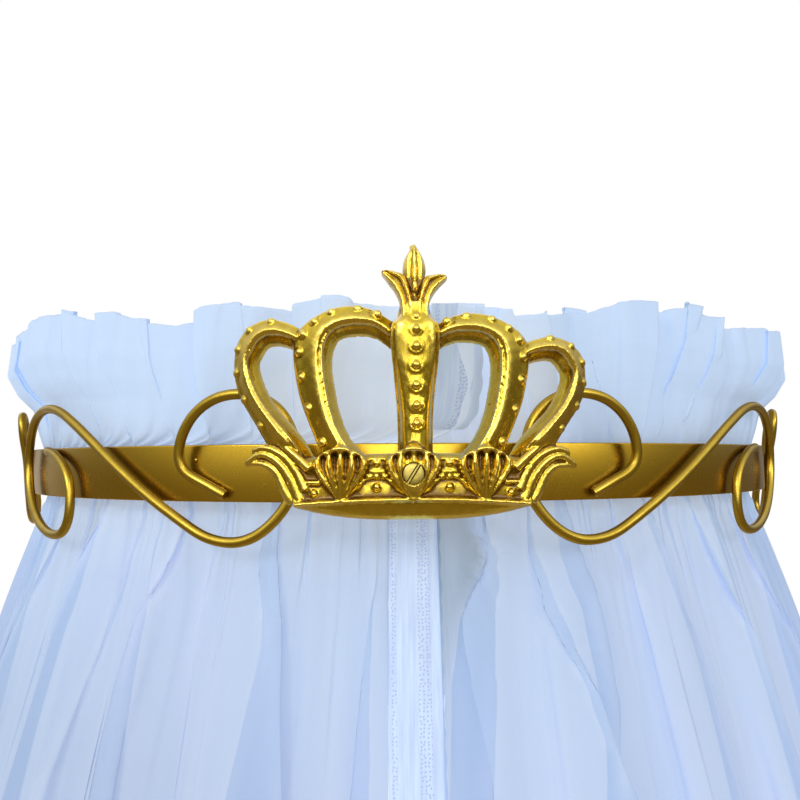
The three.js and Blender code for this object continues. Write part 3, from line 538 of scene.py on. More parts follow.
def blob(centre, radii, rows=10, columns=16):
    """A closed ball with its own radius along each axis: rows of latitude, columns of longitude."""
    lat = np.linspace(-np.pi / 2, np.pi / 2, rows + 2)[1:-1, None]
    lon = np.linspace(0, 2 * np.pi, columns, endpoint=False)[None]
    ball = np.stack([np.cos(lat) * np.cos(lon), np.cos(lat) * np.sin(lon), np.sin(lat) + 0 * lon], -1)
    points, faces = loft(ball)
    points[-2:] = (0, 0, -1), (0, 0, 1)
    return points * radii + centre, faces


rod_gold = sprayed_gold(
    "scroll_gold_paint", 60.0, (0.40, 0.265, 0.018), (0.60, 0.42, 0.045), 0.24, 0.42, 0.45)


def make_scroll(name, node, route_shares, start, length, height, side, seed):
    """One scroll: its shares laid on the band, run through a spline and given the rod's section, with
    a weld at each end. The left front one has a stray dot of weld on the band beside it."""
    touching = band_radius + scroll_gap + scroll_rod_radius
    flat = route_shares * (length, height, scroll_lift)
    line = smooth_line(flat, int(length * scroll_points_per_mm))
    line[:, 2] = np.maximum(line[:, 2], 0)
    route = on_band(side * (start + line[:, 0]), touching + line[:, 2], line[:, 1])
    parts = [loft(bent_rod(route, scroll_rod_radius, seed))]
    for inner in (4, -5):
        foot = route[inner] - unit((route[inner] - (0, ring_centre, 0)) * (1, 1, 0)) * scroll_rod_radius
        parts.append(blob(foot, weld_radii if abs(foot[0]) < side_weld_from else side_weld_radii))
    if node == "front_scroll_left":
        stray_weld = on_band(stray_weld_angle * band_radius, band_radius, stray_weld_height)
        parts.append(blob(stray_weld, stray_weld_radii))
    scroll = piece_of(name, parts, 50)
    scroll.data.materials.append(rod_gold)
    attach(scroll, "frame")
    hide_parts(node)


for side_name, side in (("left", -1), ("right", 1)):
    make_scroll(f"front_scroll_{side_name}_rod", f"front_scroll_{side_name}", front_scroll_route,
                front_scroll_start, front_scroll_length, front_scroll_height, side, 11 + side)
    make_scroll(f"side_scroll_{side_name}_rod", f"side_scroll_{side_name}", side_scroll_route,
                side_scroll_start, side_scroll_length, side_scroll_height, side, 21 + side)

# ---------------------------------------------------------------------------------------------
# The crown: one open casting in a light alloy, domed in plan. Circlet, three shells, two side
# leaves, four arches with bead rows, a beaded stem and a fleur are cast as one, then lacquered
# gold. Its colour is painted bright on the ridges as highlight and brown in the hollows as shade.

crown_half_width = 78.0
crown_plan_radius = 150.0
crown_standoff = 18.0
circlet_half_width = 49.5
circlet_top = 8.4
circlet_top_drop = 2.2
circlet_bottom = -10.8
circlet_bottom_drop = 2.4
circlet_depth = 10.0
lip_height = 8.2
lip_end_height = 0.9
arch_depth = 12.5
arch_wall_draft = 4.4
arch_rise_share = 0.16
arch_tuck_start = 0.8
arch_tuck_length = 0.16
arch_tuck_share = 0.3
stem_offset = 1.2
stem_half_width = 10.3
stem_depth = 14.5
stem_top = 72.0
shell_half_width = 11.8
shell_top = 12.5
shell_tip = -11.6
shell_depth = 16.0
shell_spacing = 29.8
shell_shoulder_drop = 4.9
shell_cusp_drop = 1.2
shell_rib_height = 3.6
shell_hood_height = 2.5
shell_hollow_depth = 2.9
shell_hollow_spots = ((-0.62, 0.8), (-0.2, 1.0), (0.22, 0.9), (0.63, 0.9))
shell_flank_height = 1.5
seat_flank_height = 1.8
shell_ground_share = 0.82
screw_seat_depth = 10.5
screw_seat_diameter = 9.6
screw_seat_play = 0.3
crown_voxel = 0.00052
crown_most_triangles = 185000
casting_unevenness = 0.00008
relief_passes = 26
relief_depth = 0.0005


def on_crown(across, up, depth):
    """A point drawn flat laid on the crown's dome: its back stands off the band and falls away
    with the square of the distance from the middle, and depth points to the room."""
    back = ring_centre - band_radius - crown_standoff + across ** 2 / (2 * crown_plan_radius)
    return np.stack(np.broadcast_arrays(across, back - depth, up), -1)


# Shares of the crown's half width and of an arch's height above the circlet, from its root on.
inner_arch_outer = np.array([
    (0.468, -0.08), (0.533, 0.13), (0.6, 0.35), (0.638, 0.57), (0.645, 0.75), (0.602, 0.865),
    (0.505, 0.95), (0.373, 1), (0.245, 0.985), (0.15, 0.93), (0.06, 0.85)])
inner_arch_lip = np.array([
    (0.27, -0.06), (0.37, 0.09), (0.431, 0.27), (0.463, 0.46), (0.478, 0.64), (0.462, 0.765),
    (0.42, 0.83), (0.345, 0.862), (0.24, 0.862), (0.16, 0.825), (0.07, 0.74)])
outer_arch_outer = np.array([
    (0.72, -0.12), (0.786, 0.047), (0.873, 0.245), (0.962, 0.449), (0.99, 0.653), (0.973, 0.832),
    (0.894, 0.957), (0.776, 1), (0.653, 0.953), (0.57, 0.885)])
outer_arch_lip = np.array([
    (0.56, -0.1), (0.636, 0.083), (0.745, 0.261), (0.842, 0.442), (0.899, 0.646), (0.879, 0.76),
    (0.829, 0.85), (0.75, 0.876), (0.653, 0.845), (0.57, 0.77)])
# Shares of the strip's width from its outer edge to the lip, and of the arch's depth: a hollow for
# the beads, the broad ridge, a groove and the raised lip.
arch_section = smooth_line([
    (0, 0.42), (0.02, 0.56), (0.07, 0.66), (0.16, 0.715), (0.3, 0.77), (0.45, 0.86), (0.6, 0.95),
    (0.71, 0.995), (0.79, 1), (0.85, 0.965), (0.885, 0.9), (0.91, 0.885), (0.94, 0.925), (0.968, 0.94),
    (0.99, 0.9), (1, 0.82)], 40, even=False)
# Shares of the wall's draft and of the arch's depth, down the wall.
arch_wall_shares = ((0.03, 0.7), (0.35, 0.55), (0.75, 0.3))


def edge_line(shares, side, height, count=130):
    """An arch's edge drawn flat: shares of the crown's width and the arch's height in a spline."""
    stops = shares * (side * crown_half_width, height) + (0, circlet_top)
    return smooth_line(stops, count, even=False)


def arch(outer_shares, lip_shares, side, height, back, foot_share):
    """An arch: stations between its outer edge and its lip carry the section, and a drafted wall
    runs from the lip back to the window's foot. The depth grows from the foot's share of it and
    falls again towards the far end, which is tucked behind its neighbour."""
    outer = edge_line(outer_shares, side, height)
    lip = edge_line(lip_shares, side, height)
    inwards = unit(lip - outer)
    strip = outer[:, None] + (lip - outer)[:, None] * arch_section[None, :, :1]
    way = np.linspace(0, 1, len(outer))[:, None]
    rise = np.clip(way / arch_rise_share, 0, 1)
    tuck = 1 - arch_tuck_share * np.clip((way - arch_tuck_start) / arch_tuck_length, 0, 1)
    full = arch_depth * (foot_share + (1 - foot_share) * rise ** 2 * (3 - 2 * rise)) * tuck
    depth = arch_section[:, 1] * full
    front = on_crown(strip[..., 0], strip[..., 1], depth)
    side_up = on_crown(outer[:, 0], outer[:, 1], full[:, 0] * 0.25)
    outer_foot = on_crown(outer[:, 0], outer[:, 1], back)
    wall = [
        on_crown(*(lip + inwards * arch_wall_draft * out).T, full[:, 0] * up) for out, up in arch_wall_shares]
    foot = lip + inwards * arch_wall_draft
    wall_foot = on_crown(foot[:, 0], foot[:, 1], back)
    return loft(np.concatenate([
        outer_foot[:, None], side_up[:, None], front, *[w[:, None] for w in wall], wall_foot[:, None]], 1))


def knob(across, up, depth, profile, columns=18, stretch=1.0):
    """A turned knob that faces the room: a profile of (radius, height) spun about its middle."""
    profile = np.asarray(profile, float)
    turns = np.linspace(0, 2 * np.pi, columns, endpoint=False)
    radius = profile[:, :1]
    rings = on_crown(
        across + radius * np.cos(turns), up + radius * np.sin(turns) * stretch,
        depth + profile[:, 1:] + 0 * turns)
    return loft(rings)


bead_profile = smooth_line([
    (2.0, -2.5), (2.0, -0.3), (1.8, 0.5), (1.25, 1.15), (0.65, 1.42), (0.05, 1.5)], 12)
ringed_bead_profile = np.array([
    (3.5, -3), (3.45, -0.2), (3.25, 0.15), (2.95, 0.25), (2.7, 0.0), (2.5, -0.7), (2.3, -1.2),
    (2.05, -1.2), (1.95, -0.3), (1.75, 0.5), (1.3, 1.1), (0.65, 1.42), (0.05, 1.5)])
small_bead_profile = np.array([(1.6, -2), (1.55, 0), (1.3, 0.6), (0.85, 1.0), (0.4, 1.15), (0.05, 1.2)])


def arch_beads(outer_shares, lip_shares, places, side, height, across=0.24, count=400):
    """Beads at shares of the way along an arch, in the hollow near its outer edge."""
    outer = edge_line(outer_shares, side, height, count)
    lip = edge_line(lip_shares, side, height, count)
    row = outer + (lip - outer) * across
    stops = (np.asarray(places) * (count - 1)).astype(int)
    return [knob(*row[stop], arch_depth * 0.74, bead_profile) for stop in stops]


# Shares of the stem's height and, beside them, of its half width.
stem_line = smooth_line([
    (0, 0.70), (0.3, 0.71), (0.45, 0.76), (0.6, 0.87), (0.72, 0.96), (0.8, 1.0), (0.86, 0.95), (0.91, 0.75),
    (0.95, 0.64), (0.985, 0.6)], 110)


def stem_depth_at(width):
    """The stem's depth where its half width is the given share."""
    least = 0.55
    return stem_depth * (least + (1 - least) * width)


def stem():
    """The stem: a swelling section with a thin flange at each side, whose width follows shares of
    its height: it is fullest under the neck, where the flanges run out, and narrows to both ends."""
    foot = circlet_bottom / 2
    up = (foot + (stem_top - foot) * stem_line[:, 0])[:, None]
    width = stem_line[:, 1][:, None]
    half = smooth_line([
        (1, 0.1), (1, 0.36), (0.975, 0.42), (0.93, 0.43), (0.885, 0.46), (0.84, 0.6), (0.72, 0.79),
        (0.55, 0.91), (0.38, 0.965), (0.2, 0.99), (0, 1.0)], 26)
    section = np.vstack([half * (-1, 1), half[-2::-1]])
    boxy_from, boxy_over, boxy_most = 0.72, 0.2, 0.72
    boxy = np.clip((width - boxy_from) / boxy_over, 0, 1)
    depth = stem_depth_at(width) * section[:, 1] ** (1 - boxy_most * boxy)
    return loft(on_crown(stem_offset + stem_half_width * width * section[:, 0], up + 0 * depth, depth))


def petal(edge_a, edge_b, depths, section, count=70):
    """A leaf between two edges drawn flat: its section gives shares of the width and of the depth,
    and the depth changes evenly from the root's to the tip's. The tips are rounded."""
    first = smooth_line(edge_a, count, even=False)
    second = smooth_line(edge_b, count, even=False)
    section = np.asarray(section, float)
    strip = first[:, None] + (second - first)[:, None] * section[None, :, :1]
    depth = np.linspace(*depths, count)[:, None] * section[:, 1]
    full_width, tip_share, narrow_share, least_depth = 0.45, 0.35, 0.3, 0.3
    width = np.linalg.norm(second - first, axis=1)[:, None]
    fullness = np.clip(width / (full_width * width.max()), 0.0, 1) ** 0.5
    thinned = depths[1] * tip_share + depth * (narrow_share + (1 - narrow_share) * fullness)
    return loft(on_crown(strip[..., 0], strip[..., 1], np.maximum(np.minimum(depth, thinned), least_depth)))


def ridged(ridges, height, count=40):
    """A section with a swelling crown and ridges: a half sine with a cosine of so many waves."""
    across = np.linspace(0, 1, count)
    swell = 0.4 + 0.6 * np.sin(np.pi * across) ** 0.7
    wave = height * np.cos(2 * np.pi * ridges * (across - 0.5)) * np.sin(np.pi * across) ** 0.4
    middle = np.stack([across, swell + wave], -1)
    return np.vstack([(0, 0.1), middle, (1, 0.1)])


petal_section = smooth_line([
    (0, 0.2), (0, 0.7), (0.05, 0.86), (0.13, 0.95), (0.2, 1.0), (0.25, 1.05), (0.29, 1.06), (0.33, 1.01),
    (0.38, 0.94), (0.46, 0.9), (0.58, 0.92), (0.7, 0.98), (0.8, 1.02), (0.88, 1.0), (0.95, 0.85),
    (1, 0.55), (1, 0.2)], 56, even=False)
# Edges in millimetres from the stem's axis and above the band's middle, as seen on the right.
side_petal_upper = np.array([
    (-0.4, 62), (0.0, 67), (0.6, 71.6), (1.7, 75.6), (3.1, 79.6), (4.8, 82.4), (7.2, 83.3),
    (10.0, 83.9), (12.4, 83.9), (13.8, 83.0)])
side_petal_lower = np.array([
    (5.9, 62), (5.8, 66), (6.0, 69), (6.6, 72), (7.8, 74.6), (9.3, 77), (11.0, 79.1),
    (12.5, 80.9), (13.5, 82.0), (14.0, 82.6)])
middle_petal_edge = np.array([
    (1.0, 70), (1.6, 73.5), (3.0, 77.2), (4.3, 81.2), (4.9, 85.2), (4.6, 88.6), (3.2, 92.3), (0.4, 96.2)])


def bar(across, up, depth, half_width, half_height, half_depth):
    """A small cast bar or drop with rounded ends, laid on the crown at a depth."""
    points, faces = blob((0, 0, 0), (1, 1, 1), 12, 20)
    points = np.sign(points) * np.abs(points) ** 0.6
    return on_crown(across + points[:, 0] * half_width, up + points[:, 2] * half_height,
                    depth - points[:, 1] * half_depth), faces


def fleur():
    """The fleur: two full side petals that curl outwards, each with a thin rim line, a hollow beside
    it and a lobe along its outer edge, and an almond middle petal with ridges behind them."""
    axis = (stem_offset, 0)
    parts = []
    for side in (-1, 1):
        tilt = axis + np.stack([np.zeros(10), -1.3 * side * np.linspace(0, 1, 10) ** 2], -1)
        edges = (side_petal_upper * (side, 1) + tilt, side_petal_lower * (side, 1) + tilt)
        parts.append(petal(*edges, (12.2, 8.8), petal_section))
    edges = (middle_petal_edge * (-1, 1) + axis, middle_petal_edge + axis)
    parts.append(petal(*edges, (8.8, 6.8), ridged(3, 0.11), 80))
    parts.append(bar(stem_offset, 77.4, 9.6, 1.0, 2.3, 1.2))
    parts.append(knob(stem_offset - 0.6, 95.4, 3.0, [(1.3, -2), (1.3, 0), (0.9, 0.8), (0.05, 1.1)]))
    return parts


def tapered(stops, depth, radii, count=60, sides=14):
    """A cast strand laid on the crown: a round tube along a spline of stops drawn flat, at one
    depth, whose radius changes evenly from root to tip."""
    line = smooth_line(stops, count)
    along = unit(np.gradient(line, axis=0))
    across = np.stack([-along[:, 1], along[:, 0]], -1)
    turns = np.linspace(0, 2 * np.pi, sides, endpoint=False)
    share = np.linspace(0, 1, count)[:, None]
    radius = (radii[0] + (radii[1] - radii[0]) * share) * np.sqrt(np.clip((1 - share) * 30 + 0.1, 0, 1))
    flat = line[:, None] + across[:, None] * (radius * np.cos(turns))[..., None]
    return loft(on_crown(flat[..., 0], flat[..., 1], depth + radius * np.sin(turns)))


def circlet():
    """The circlet: stations across the crown; each is the plate's outline with a sloping bevel
    above, a sharper rim below and the crescent lip that hangs under it."""
    share = np.linspace(-1, 1, 150)[:, None]
    across = share * circlet_half_width
    top = circlet_top - circlet_top_drop * share ** 2
    bottom = circlet_bottom - circlet_bottom_drop * share ** 2
    lip = bottom - lip_end_height - (lip_height - lip_end_height) * (1 - np.abs(share) ** 2.6)
    rim = np.array([(0, 0.0), (0, 0.62), (0.35, 0.76), (1.1, 0.9), (2.0, 1.02), (2.5, 1.0), (2.8, 0.86)])
    foot_rim = np.array([
        (2.4, 0.9), (1.7, 0.93), (1.3, 1.08), (0.8, 1.2), (0.1, 1.2), (-0.4, 1.1), (-0.8, 0.98)])
    body = np.array([(0.25, 0.83), (0.5, 0.86), (0.75, 0.9)])
    hang = np.array([
        (0.16, 0.95), (0.36, 0.9), (0.58, 0.8), (0.78, 0.7), (0.92, 0.58), (1.0, 0.42), (1.0, 0.12)])
    up = np.hstack([
        top - rim[:, 0], (top - 2.8) + (bottom + 2.4 - top + 2.8) * body[:, 0], bottom + foot_rim[:, 0],
        (bottom - 0.8) + (lip - bottom + 0.8) * hang[:, 0]])
    depth = circlet_depth * np.concatenate([rim[:, 1], body[:, 1], foot_rim[:, 1], hang[:, 1]])
    return loft(on_crown(across + 0 * up, up, depth + 0 * up))


def shell(middle, seat):
    """A shell: a fan that narrows to its tip under an arched, rolled hood. Ribs run down it from a
    row of deep hollows under the hood. The middle shell has a seat for the screw between two
    doubled flanks in place of its middle ribs."""
    down = np.linspace(0, 1, 104)[:, None]
    stops = np.array([(0, 0.52), (0.04, 0.72), (0.1, 0.87), (0.16, 0.95), (0.24, 1), (0.36, 1), (0.5, 0.88),
                      (0.64, 0.69), (0.76, 0.49), (0.87, 0.29), (0.95, 0.13), (1, 0.04)])
    width = np.interp(down, *smooth_line(stops, 110).T)
    across = np.linspace(-1, 1, 105)[None]
    cusps = np.exp(-((np.abs(across) - 0.5) / 0.1) ** 2)
    droop = shell_shoulder_drop * across ** 2 + shell_cusp_drop * cusps
    up = shell_top + (shell_tip - shell_top) * down - droop * (1 - down) ** 3
    swell = np.sqrt(np.maximum(1 - across ** 2, 0)) ** 0.7 * (0.45 + 0.55 * width)
    below_hood = np.clip((down - 0.12) / 0.09, 0, 1)
    rib = np.abs(np.cos(across * np.pi * 2.5)) ** 0.8
    ribs_share = np.clip((np.abs(across) - 0.3) / 0.2, 0, 1) if seat else 1.0
    ribs = (rib - 0.6) * shell_rib_height * (0.4 + 0.6 * width) * below_hood * ribs_share
    hood = shell_hood_height * np.exp(-((down - 0.085) / 0.06) ** 2) * (1 - 0.55 * cusps)
    spots = sum(np.exp(-((across - spot) / 0.12) ** 2) * size for spot, size in shell_hollow_spots)
    under_hood = np.clip((down - 0.14) / 0.05, 0, 1) * np.clip((0.62 - down) / 0.42, 0, 1) ** 1.2
    hollows = shell_hollow_depth * spots * under_hood
    flanks = shell_flank_height * np.exp(-((np.abs(across) - 0.87) / 0.1) ** 2) * below_hood
    if seat:
        inner_flanks = np.exp(-((np.abs(across) - 0.56) / 0.09) ** 2) * below_hood
        flanks = flanks + seat_flank_height * inner_flanks
    ground = circlet_depth * shell_ground_share
    depth = ground + (shell_depth - ground) * swell * shell_ground_share + ribs * swell
    depth = depth + (hood - hollows) * swell + flanks * (0.4 + 0.6 * width)
    front = on_crown(middle + across * width * shell_half_width, up, np.maximum(depth, circlet_depth * 0.6))
    back = on_crown(middle + np.array([[1.0, -1.0]]) * width * shell_half_width,
                    up[:, [-1, 0]], circlet_depth / 2 + 0 * width)
    return loft(np.concatenate([front, back], 1))


# Strands of the left leaf, from its root to its tip, and the ridge that runs into the arch's foot.
leaf_strands = [
    ([(-50.2, -12), (-52.9, -8.2), (-54.6, -4.8), (-56.9, -0.4), (-59.9, 2.6), (-63.8, 4.2), (-68, 4.4),
      (-71.6, 3.4)], 7.6, (2.4, 0.9)),
    ([(-47.2, -10.9), (-49.2, -5.9), (-51.6, -1.3), (-55.2, 3.4), (-59.6, 6.9), (-64.3, 8.2), (-68.5, 6.6),
      (-71.4, 4.2)], 8.2, (2.6, 0.9)),
    ([(-45.0, -6.9), (-47.6, -0.8), (-51.3, 4.6), (-55.6, 8.4), (-60.4, 10.6), (-64.8, 11.0), (-68.6, 9.4)],
     8.4, (2.4, 0.8)),
    ([(-43.0, 2.0), (-47.2, 5.9), (-51.6, 9.6), (-55.4, 13.2), (-58.6, 17.4)], 9.4, (2.1, 1.0)),
]


def side_leaf(side):
    """A side leaf: strands that fan from the circlet's corner and curl outwards to its tip, on a thick
    web. The right leaf is the left one mirrored and a little lower."""
    drop = 0 if side < 0 else -1.6
    parts = []
    for stops, depth, radii in leaf_strands:
        stops = np.array(stops)
        sink = drop * np.clip((np.abs(stops[:, 0]) - 50) / 18, 0, 1)
        parts.append(tapered(stops * (-side, 1) + np.stack([0 * sink, sink], -1), depth, radii))
    lower = np.array(leaf_strands[0][0][:-1]) * (-side, 1)
    upper = np.array(leaf_strands[2][0]) * (-side, 1)
    parts.append(petal(lower, upper, (9.2, 7.6), [(0, 0.1), (0, 0.9), (0.5, 1), (1, 0.9), (1, 0.1)], 40))
    return parts


# Places of the arches' beads, and of the stem's with their sizes, as shares of the way up.
inner_bead_shares = (0.08, 0.19, 0.29, 0.38, 0.47, 0.56, 0.65, 0.76, 0.86)
outer_bead_shares = (0.2, 0.31, 0.42, 0.53, 0.65, 0.78)
stem_bead_shares = ((0.333, 0.9), (0.429, 0.92), (0.535, 0.92), (0.641, 0.92), (0.74, 0.9), (0.83, 0.84))
arch_heights = {-1: (61.8, 57.9), 1: (58.6, 50.1)}
crown_parts = [circlet(), stem(), *fleur()]
for side, (inner_height, outer_height) in arch_heights.items():
    middle = side * shell_spacing / 2
    crown_parts += [
        arch(inner_arch_outer, inner_arch_lip, side, inner_height, 1.1, 0.9),
        arch(outer_arch_outer, outer_arch_lip, side, outer_height, 0.3, 0.45),
        *arch_beads(inner_arch_outer, inner_arch_lip, inner_bead_shares, side, inner_height),
        *arch_beads(outer_arch_outer, outer_arch_lip, outer_bead_shares, side, outer_height),
        *side_leaf(side),
        bar(middle, 3.2, circlet_depth * 0.84, 3.9, 3.4, 1.3),
        knob(middle, 4.5, circlet_depth * 0.95, ringed_bead_profile * (0.8, 1), stretch=0.9),
        bar(middle, 0.9, circlet_depth * 0.88, 4.2, 1.0, 1.3),
        bar(middle - 3.1, -1.2, circlet_depth * 0.9, 1.3, 1.0, 1.2),
        bar(middle + 3.1, -1.2, circlet_depth * 0.9, 1.3, 1.0, 1.2),
        bar(middle, -1.1, circlet_depth * 0.9, 1.1, 0.9, 1.1),
        knob(middle, -5.4, circlet_depth * 0.93, small_bead_profile),
        knob(side * 42.6, 2.9, circlet_depth * 0.88, ringed_bead_profile * (0.75, 1)),
        bar(side * 41.6, -3.6, circlet_depth * 0.92, 3.4, 0.8, 1.2),
        knob(side * 41.0, -8.0, circlet_depth * 0.95, small_bead_profile)]
    frame_foot = circlet_bottom + 1.2
    for way, start in ((-side, -0.6), (side, -0.8)):
        strand = [(middle + way * out, frame_foot + up) for out, up in ((13.6, start), (9, 3.2), (4.6, 7.4))]
        crown_parts.append(tapered(strand, circlet_depth * 0.98, (0.55, 0.5), 30, 10))
crown_parts += [shell(place * shell_spacing, place == 0) for place in (-1, 0, 1)]
foot = circlet_bottom / 2
for share, size in stem_bead_shares:
    face = stem_depth_at(np.interp(share, *stem_line.T))
    crown_parts.append(knob(stem_offset + 0.2, foot + (stem_top - foot) * share, face + 0.15,
                            ringed_bead_profile * (size, 1)))
top_bead = foot + (stem_top - foot) * 0.899
crown_parts.append(knob(stem_offset + 0.4, top_bead, stem_depth * 0.9, small_bead_profile))

crown = piece_of("crown_casting_lacquered", crown_parts)


def fuse(thing, voxel, passes, most_triangles):
    """Melts overlapping lofts into one skin: a voxel remesh, a few passes of smoothing and as much
    decimation as keeps the skin under the limit of triangles."""
    melt = thing.modifiers.new("melt", "REMESH")
    melt.mode = "VOXEL"
    melt.voxel_size = voxel
    melt.adaptivity = 0
    melt.use_smooth_shade = True
    keep_shape(thing)
    soften = thing.modifiers.new("soften", "SMOOTH")
    soften.factor = 0.5
    soften.iterations = passes
    keep_shape(thing)
    triangles = 2 * len(thing.data.polygons)
    if triangles > most_triangles:
        thin = thing.modifiers.new("thin", "DECIMATE")
        thin.ratio = most_triangles / triangles
        keep_shape(thing)
    thing.data.shade_smooth()


crown_back = ring_centre - band_radius - crown_standoff
fuse(crown, crown_voxel, 2, crown_most_triangles)
drill(crown, 0, screw_seat_diameter, crown_back - screw_seat_depth, crown_back - 30)
drill(crown, 0, screw_hole_diameter, crown_back - 12, crown_back + 3)


def roughen(thing, height):
    """Leaves the casting's skin uneven: each point moves along its normal by a height times a
    product of sines of its place, at two sizes of bump."""
    mesh = thing.data
    places = np.zeros(len(mesh.vertices) * 3)
    mesh.vertices.foreach_get("co", places)
    normals = np.zeros(len(mesh.vertices) * 3)
    mesh.vertices.foreach_get("normal", normals)
    places = places.reshape(-1, 3)
    x, y, z = (places * 1000).T
    coarse = np.sin(1.13 * x + 1.7 * np.sin(0.31 * z)) * np.sin(0.97 * z + 1.3 * np.sin(0.43 * x) + 0.5 * y)
    fine = np.sin(2.6 * x + 1.1 * np.sin(1.07 * z + y)) * np.sin(2.9 * z + 1.4 * np.sin(0.83 * x))
    places += normals.reshape(-1, 3) * ((0.65 * coarse + 0.35 * fine) * height)[:, None]
    mesh.vertices.foreach_set("co", places.ravel())
    mesh.update()


def note_relief(thing, passes, depth):
    """Writes the attribute relief: how far each point stands out of the skin smoothed over many
    passes of averaging with its neighbours, from 0 in hollows over 0.5 to 1 on ridges."""
    mesh = thing.data
    count = len(mesh.vertices)
    places = np.zeros(count * 3)
    mesh.vertices.foreach_get("co", places)
    places = places.reshape(-1, 3)
    normals = np.zeros(count * 3)
    mesh.vertices.foreach_get("normal", normals)
    edges = np.zeros(len(mesh.edges) * 2, int)
    mesh.edges.foreach_get("vertices", edges)
    a, b = edges.reshape(-1, 2).T
    degree = np.bincount(np.concatenate([a, b]), minlength=count)[:, None]
    even = places.copy()
    for _ in range(passes):
        sums = [np.bincount(a, even[b, k], count) + np.bincount(b, even[a, k], count) for k in range(3)]
        even = np.stack(sums, -1) / degree
    out = np.einsum("ij,ij->i", places - even, normals.reshape(-1, 3)) / depth
    written = mesh.attributes.new("relief", "FLOAT", "POINT")
    written.data.foreach_set("value", np.clip(0.5 + 0.5 * out, 0, 1).astype(np.float32))


roughen(crown, casting_unevenness)
note_relief(crown, relief_passes, relief_depth)

lacquer, tree, shader, coat = coated_metal(
    "crown_gold_lacquer", 90.0, (0.53, 0.365, 0.012), (0.74, 0.53, 0.03), 0.15, 0.33, 0.22, 0.0003)
stands_out = node_of(tree, "ShaderNodeAttribute", attribute_name="relief").outputs["Fac"]
# Painted shade and highlight: through the relief attribute, the colour is painted dark brown in the hollows
# and bright gold on the ridges. The hollows are also rougher.
hollow_shade_share = range_of(tree, stands_out, 0.34, 0.04, smooth=True)
ridge_highlight_share = math_of(tree, "MULTIPLY", range_of(tree, stands_out, 0.56, 0.9, smooth=True), 0.6)
hollow_shaded_colour = mix_of(tree, hollow_shade_share, coat["Color"], (0.17, 0.085, 0.005, 1))
feed(tree, shader, {
    "Base Color": mix_of(tree, ridge_highlight_share, hollow_shaded_colour, (0.95, 0.72, 0.14, 1)),
    "Roughness": math_of(tree, "MULTIPLY_ADD", hollow_shade_share, 0.3, coat["Roughness"]),
    "Coat Weight": 0.6, "Coat Roughness": 0.12})
finish_with(crown, lacquer)
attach(crown, "frame")
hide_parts("crown_casting")

# ---------------------------------------------------------------------------------------------
# The crown's fixing: a turned brass screw with a milled slot through the middle shell, and behind
# it the CAD's own spacer tube, which holds the casting off the band, and zinc plated washer and nut.

screw_head_radius = 4.5
screw_head_height = 2.8
screw_shank_radius = 2.5
screw_slot_width = 1.2
screw_slot_depth = 1.3
screw_slot_turn = math.radians(58)
screw_slot_reach = 6
screw_mouth_share = 1.6
screw_floor_share = 0.55
screw_sides = 56
screw_seat = crown_back - screw_seat_depth - screw_seat_play
screw_front = screw_seat - screw_head_height
screw_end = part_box("crown_screw")[1][1] * 1000
screw_stops = np.array([
    (0.2, screw_front), (2.0, screw_front), (3.95, screw_front + 0.05), (4.25, screw_front + 0.2),
    (screw_head_radius, screw_front + 0.6), (screw_head_radius, screw_seat - 0.1), (4.4, screw_seat),
    (screw_shank_radius, screw_seat), (screw_shank_radius, screw_end - 0.6), (2.0, screw_end),
    (0.2, screw_end)])
turns = np.linspace(0, 2 * np.pi, screw_sides, endpoint=False)
screw_rings = np.stack(np.broadcast_arrays(
    screw_stops[:, :1] * np.cos(turns), screw_stops[:, 1:], screw_stops[:, :1] * np.sin(turns)), -1)
screw = piece_of("crown_screw_turned", [loft(screw_rings)], 30)
along_slot = np.array([math.cos(screw_slot_turn), math.sin(screw_slot_turn)])
across_slot = np.array([-along_slot[1], along_slot[0]])
slot_corners = np.array([(-1, -1), (1, -1), (1, 1), (-1, 1)])
slot_mouth, slot_floor = (
    slot_corners[:, :1] * along_slot * screw_slot_reach + slot_corners[:, 1:] * across_slot * width / 2
    for width in (screw_slot_width * screw_mouth_share, screw_slot_width * screw_floor_share))
cut_away(screw, slot_mouth, screw_front - 0.2, slot_floor, screw_front + screw_slot_depth)
screw.data.set_sharp_from_angle(angle=math.radians(30))

screw_brass, tree, shader, coat = coated_metal(
    "brass_screw", 160.0, (0.42, 0.33, 0.07), (0.58, 0.46, 0.12), 0.28, 0.45, 0.2)
# Painted shade on the slot's walls: a belt of depth between the head's face and the slot's floor is painted
# dark brown.
belt_middle = screw_front * 0.001 + 0.0007
belt_half = 0.00052
where = tree.nodes.new("ShaderNodeTexCoord").outputs["Object"]
place = node_of(tree, "ShaderNodeSeparateXYZ", {0: where}).outputs["Y"]
off_belt = math_of(tree, "ABSOLUTE", math_of(tree, "SUBTRACT", place, belt_middle))
slot_wall_shade = math_of(tree, "LESS_THAN", off_belt, belt_half)
feed(tree, shader, {
    "Base Color": mix_of(tree, slot_wall_shade, coat["Color"], (0.1, 0.06, 0.01, 1)), "Metallic": 0.9})
finish_with(screw, screw_brass)
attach(screw, "frame")
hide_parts("crown_screw")

zinc = coated_metal("zinc_plate", 110.0, (0.46, 0.46, 0.45), (0.66, 0.66, 0.63), 0.28, 0.45, 0.15)[0]
for node, material in (("crown_washer", zinc), ("crown_nut", zinc), ("crown_spacer", rod_gold)):
    finish_with(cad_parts[node], material)

# ---------------------------------------------------------------------------------------------
# The hooks: three open hooks of bent strip inside the band that carry the rod. Two are welded to
# the band and the front one is held by the crown's screw; all are painted with the band.

for node in ("rod_hook_front", "rod_hook_left", "rod_hook_right"):
    finish_with(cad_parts[node], band_gold)

# ---------------------------------------------------------------------------------------------
# The curtain rod: a 6 mm zinc plated rod bent to a half ring, pushed through the panels' pockets
# and laid in the hooks.

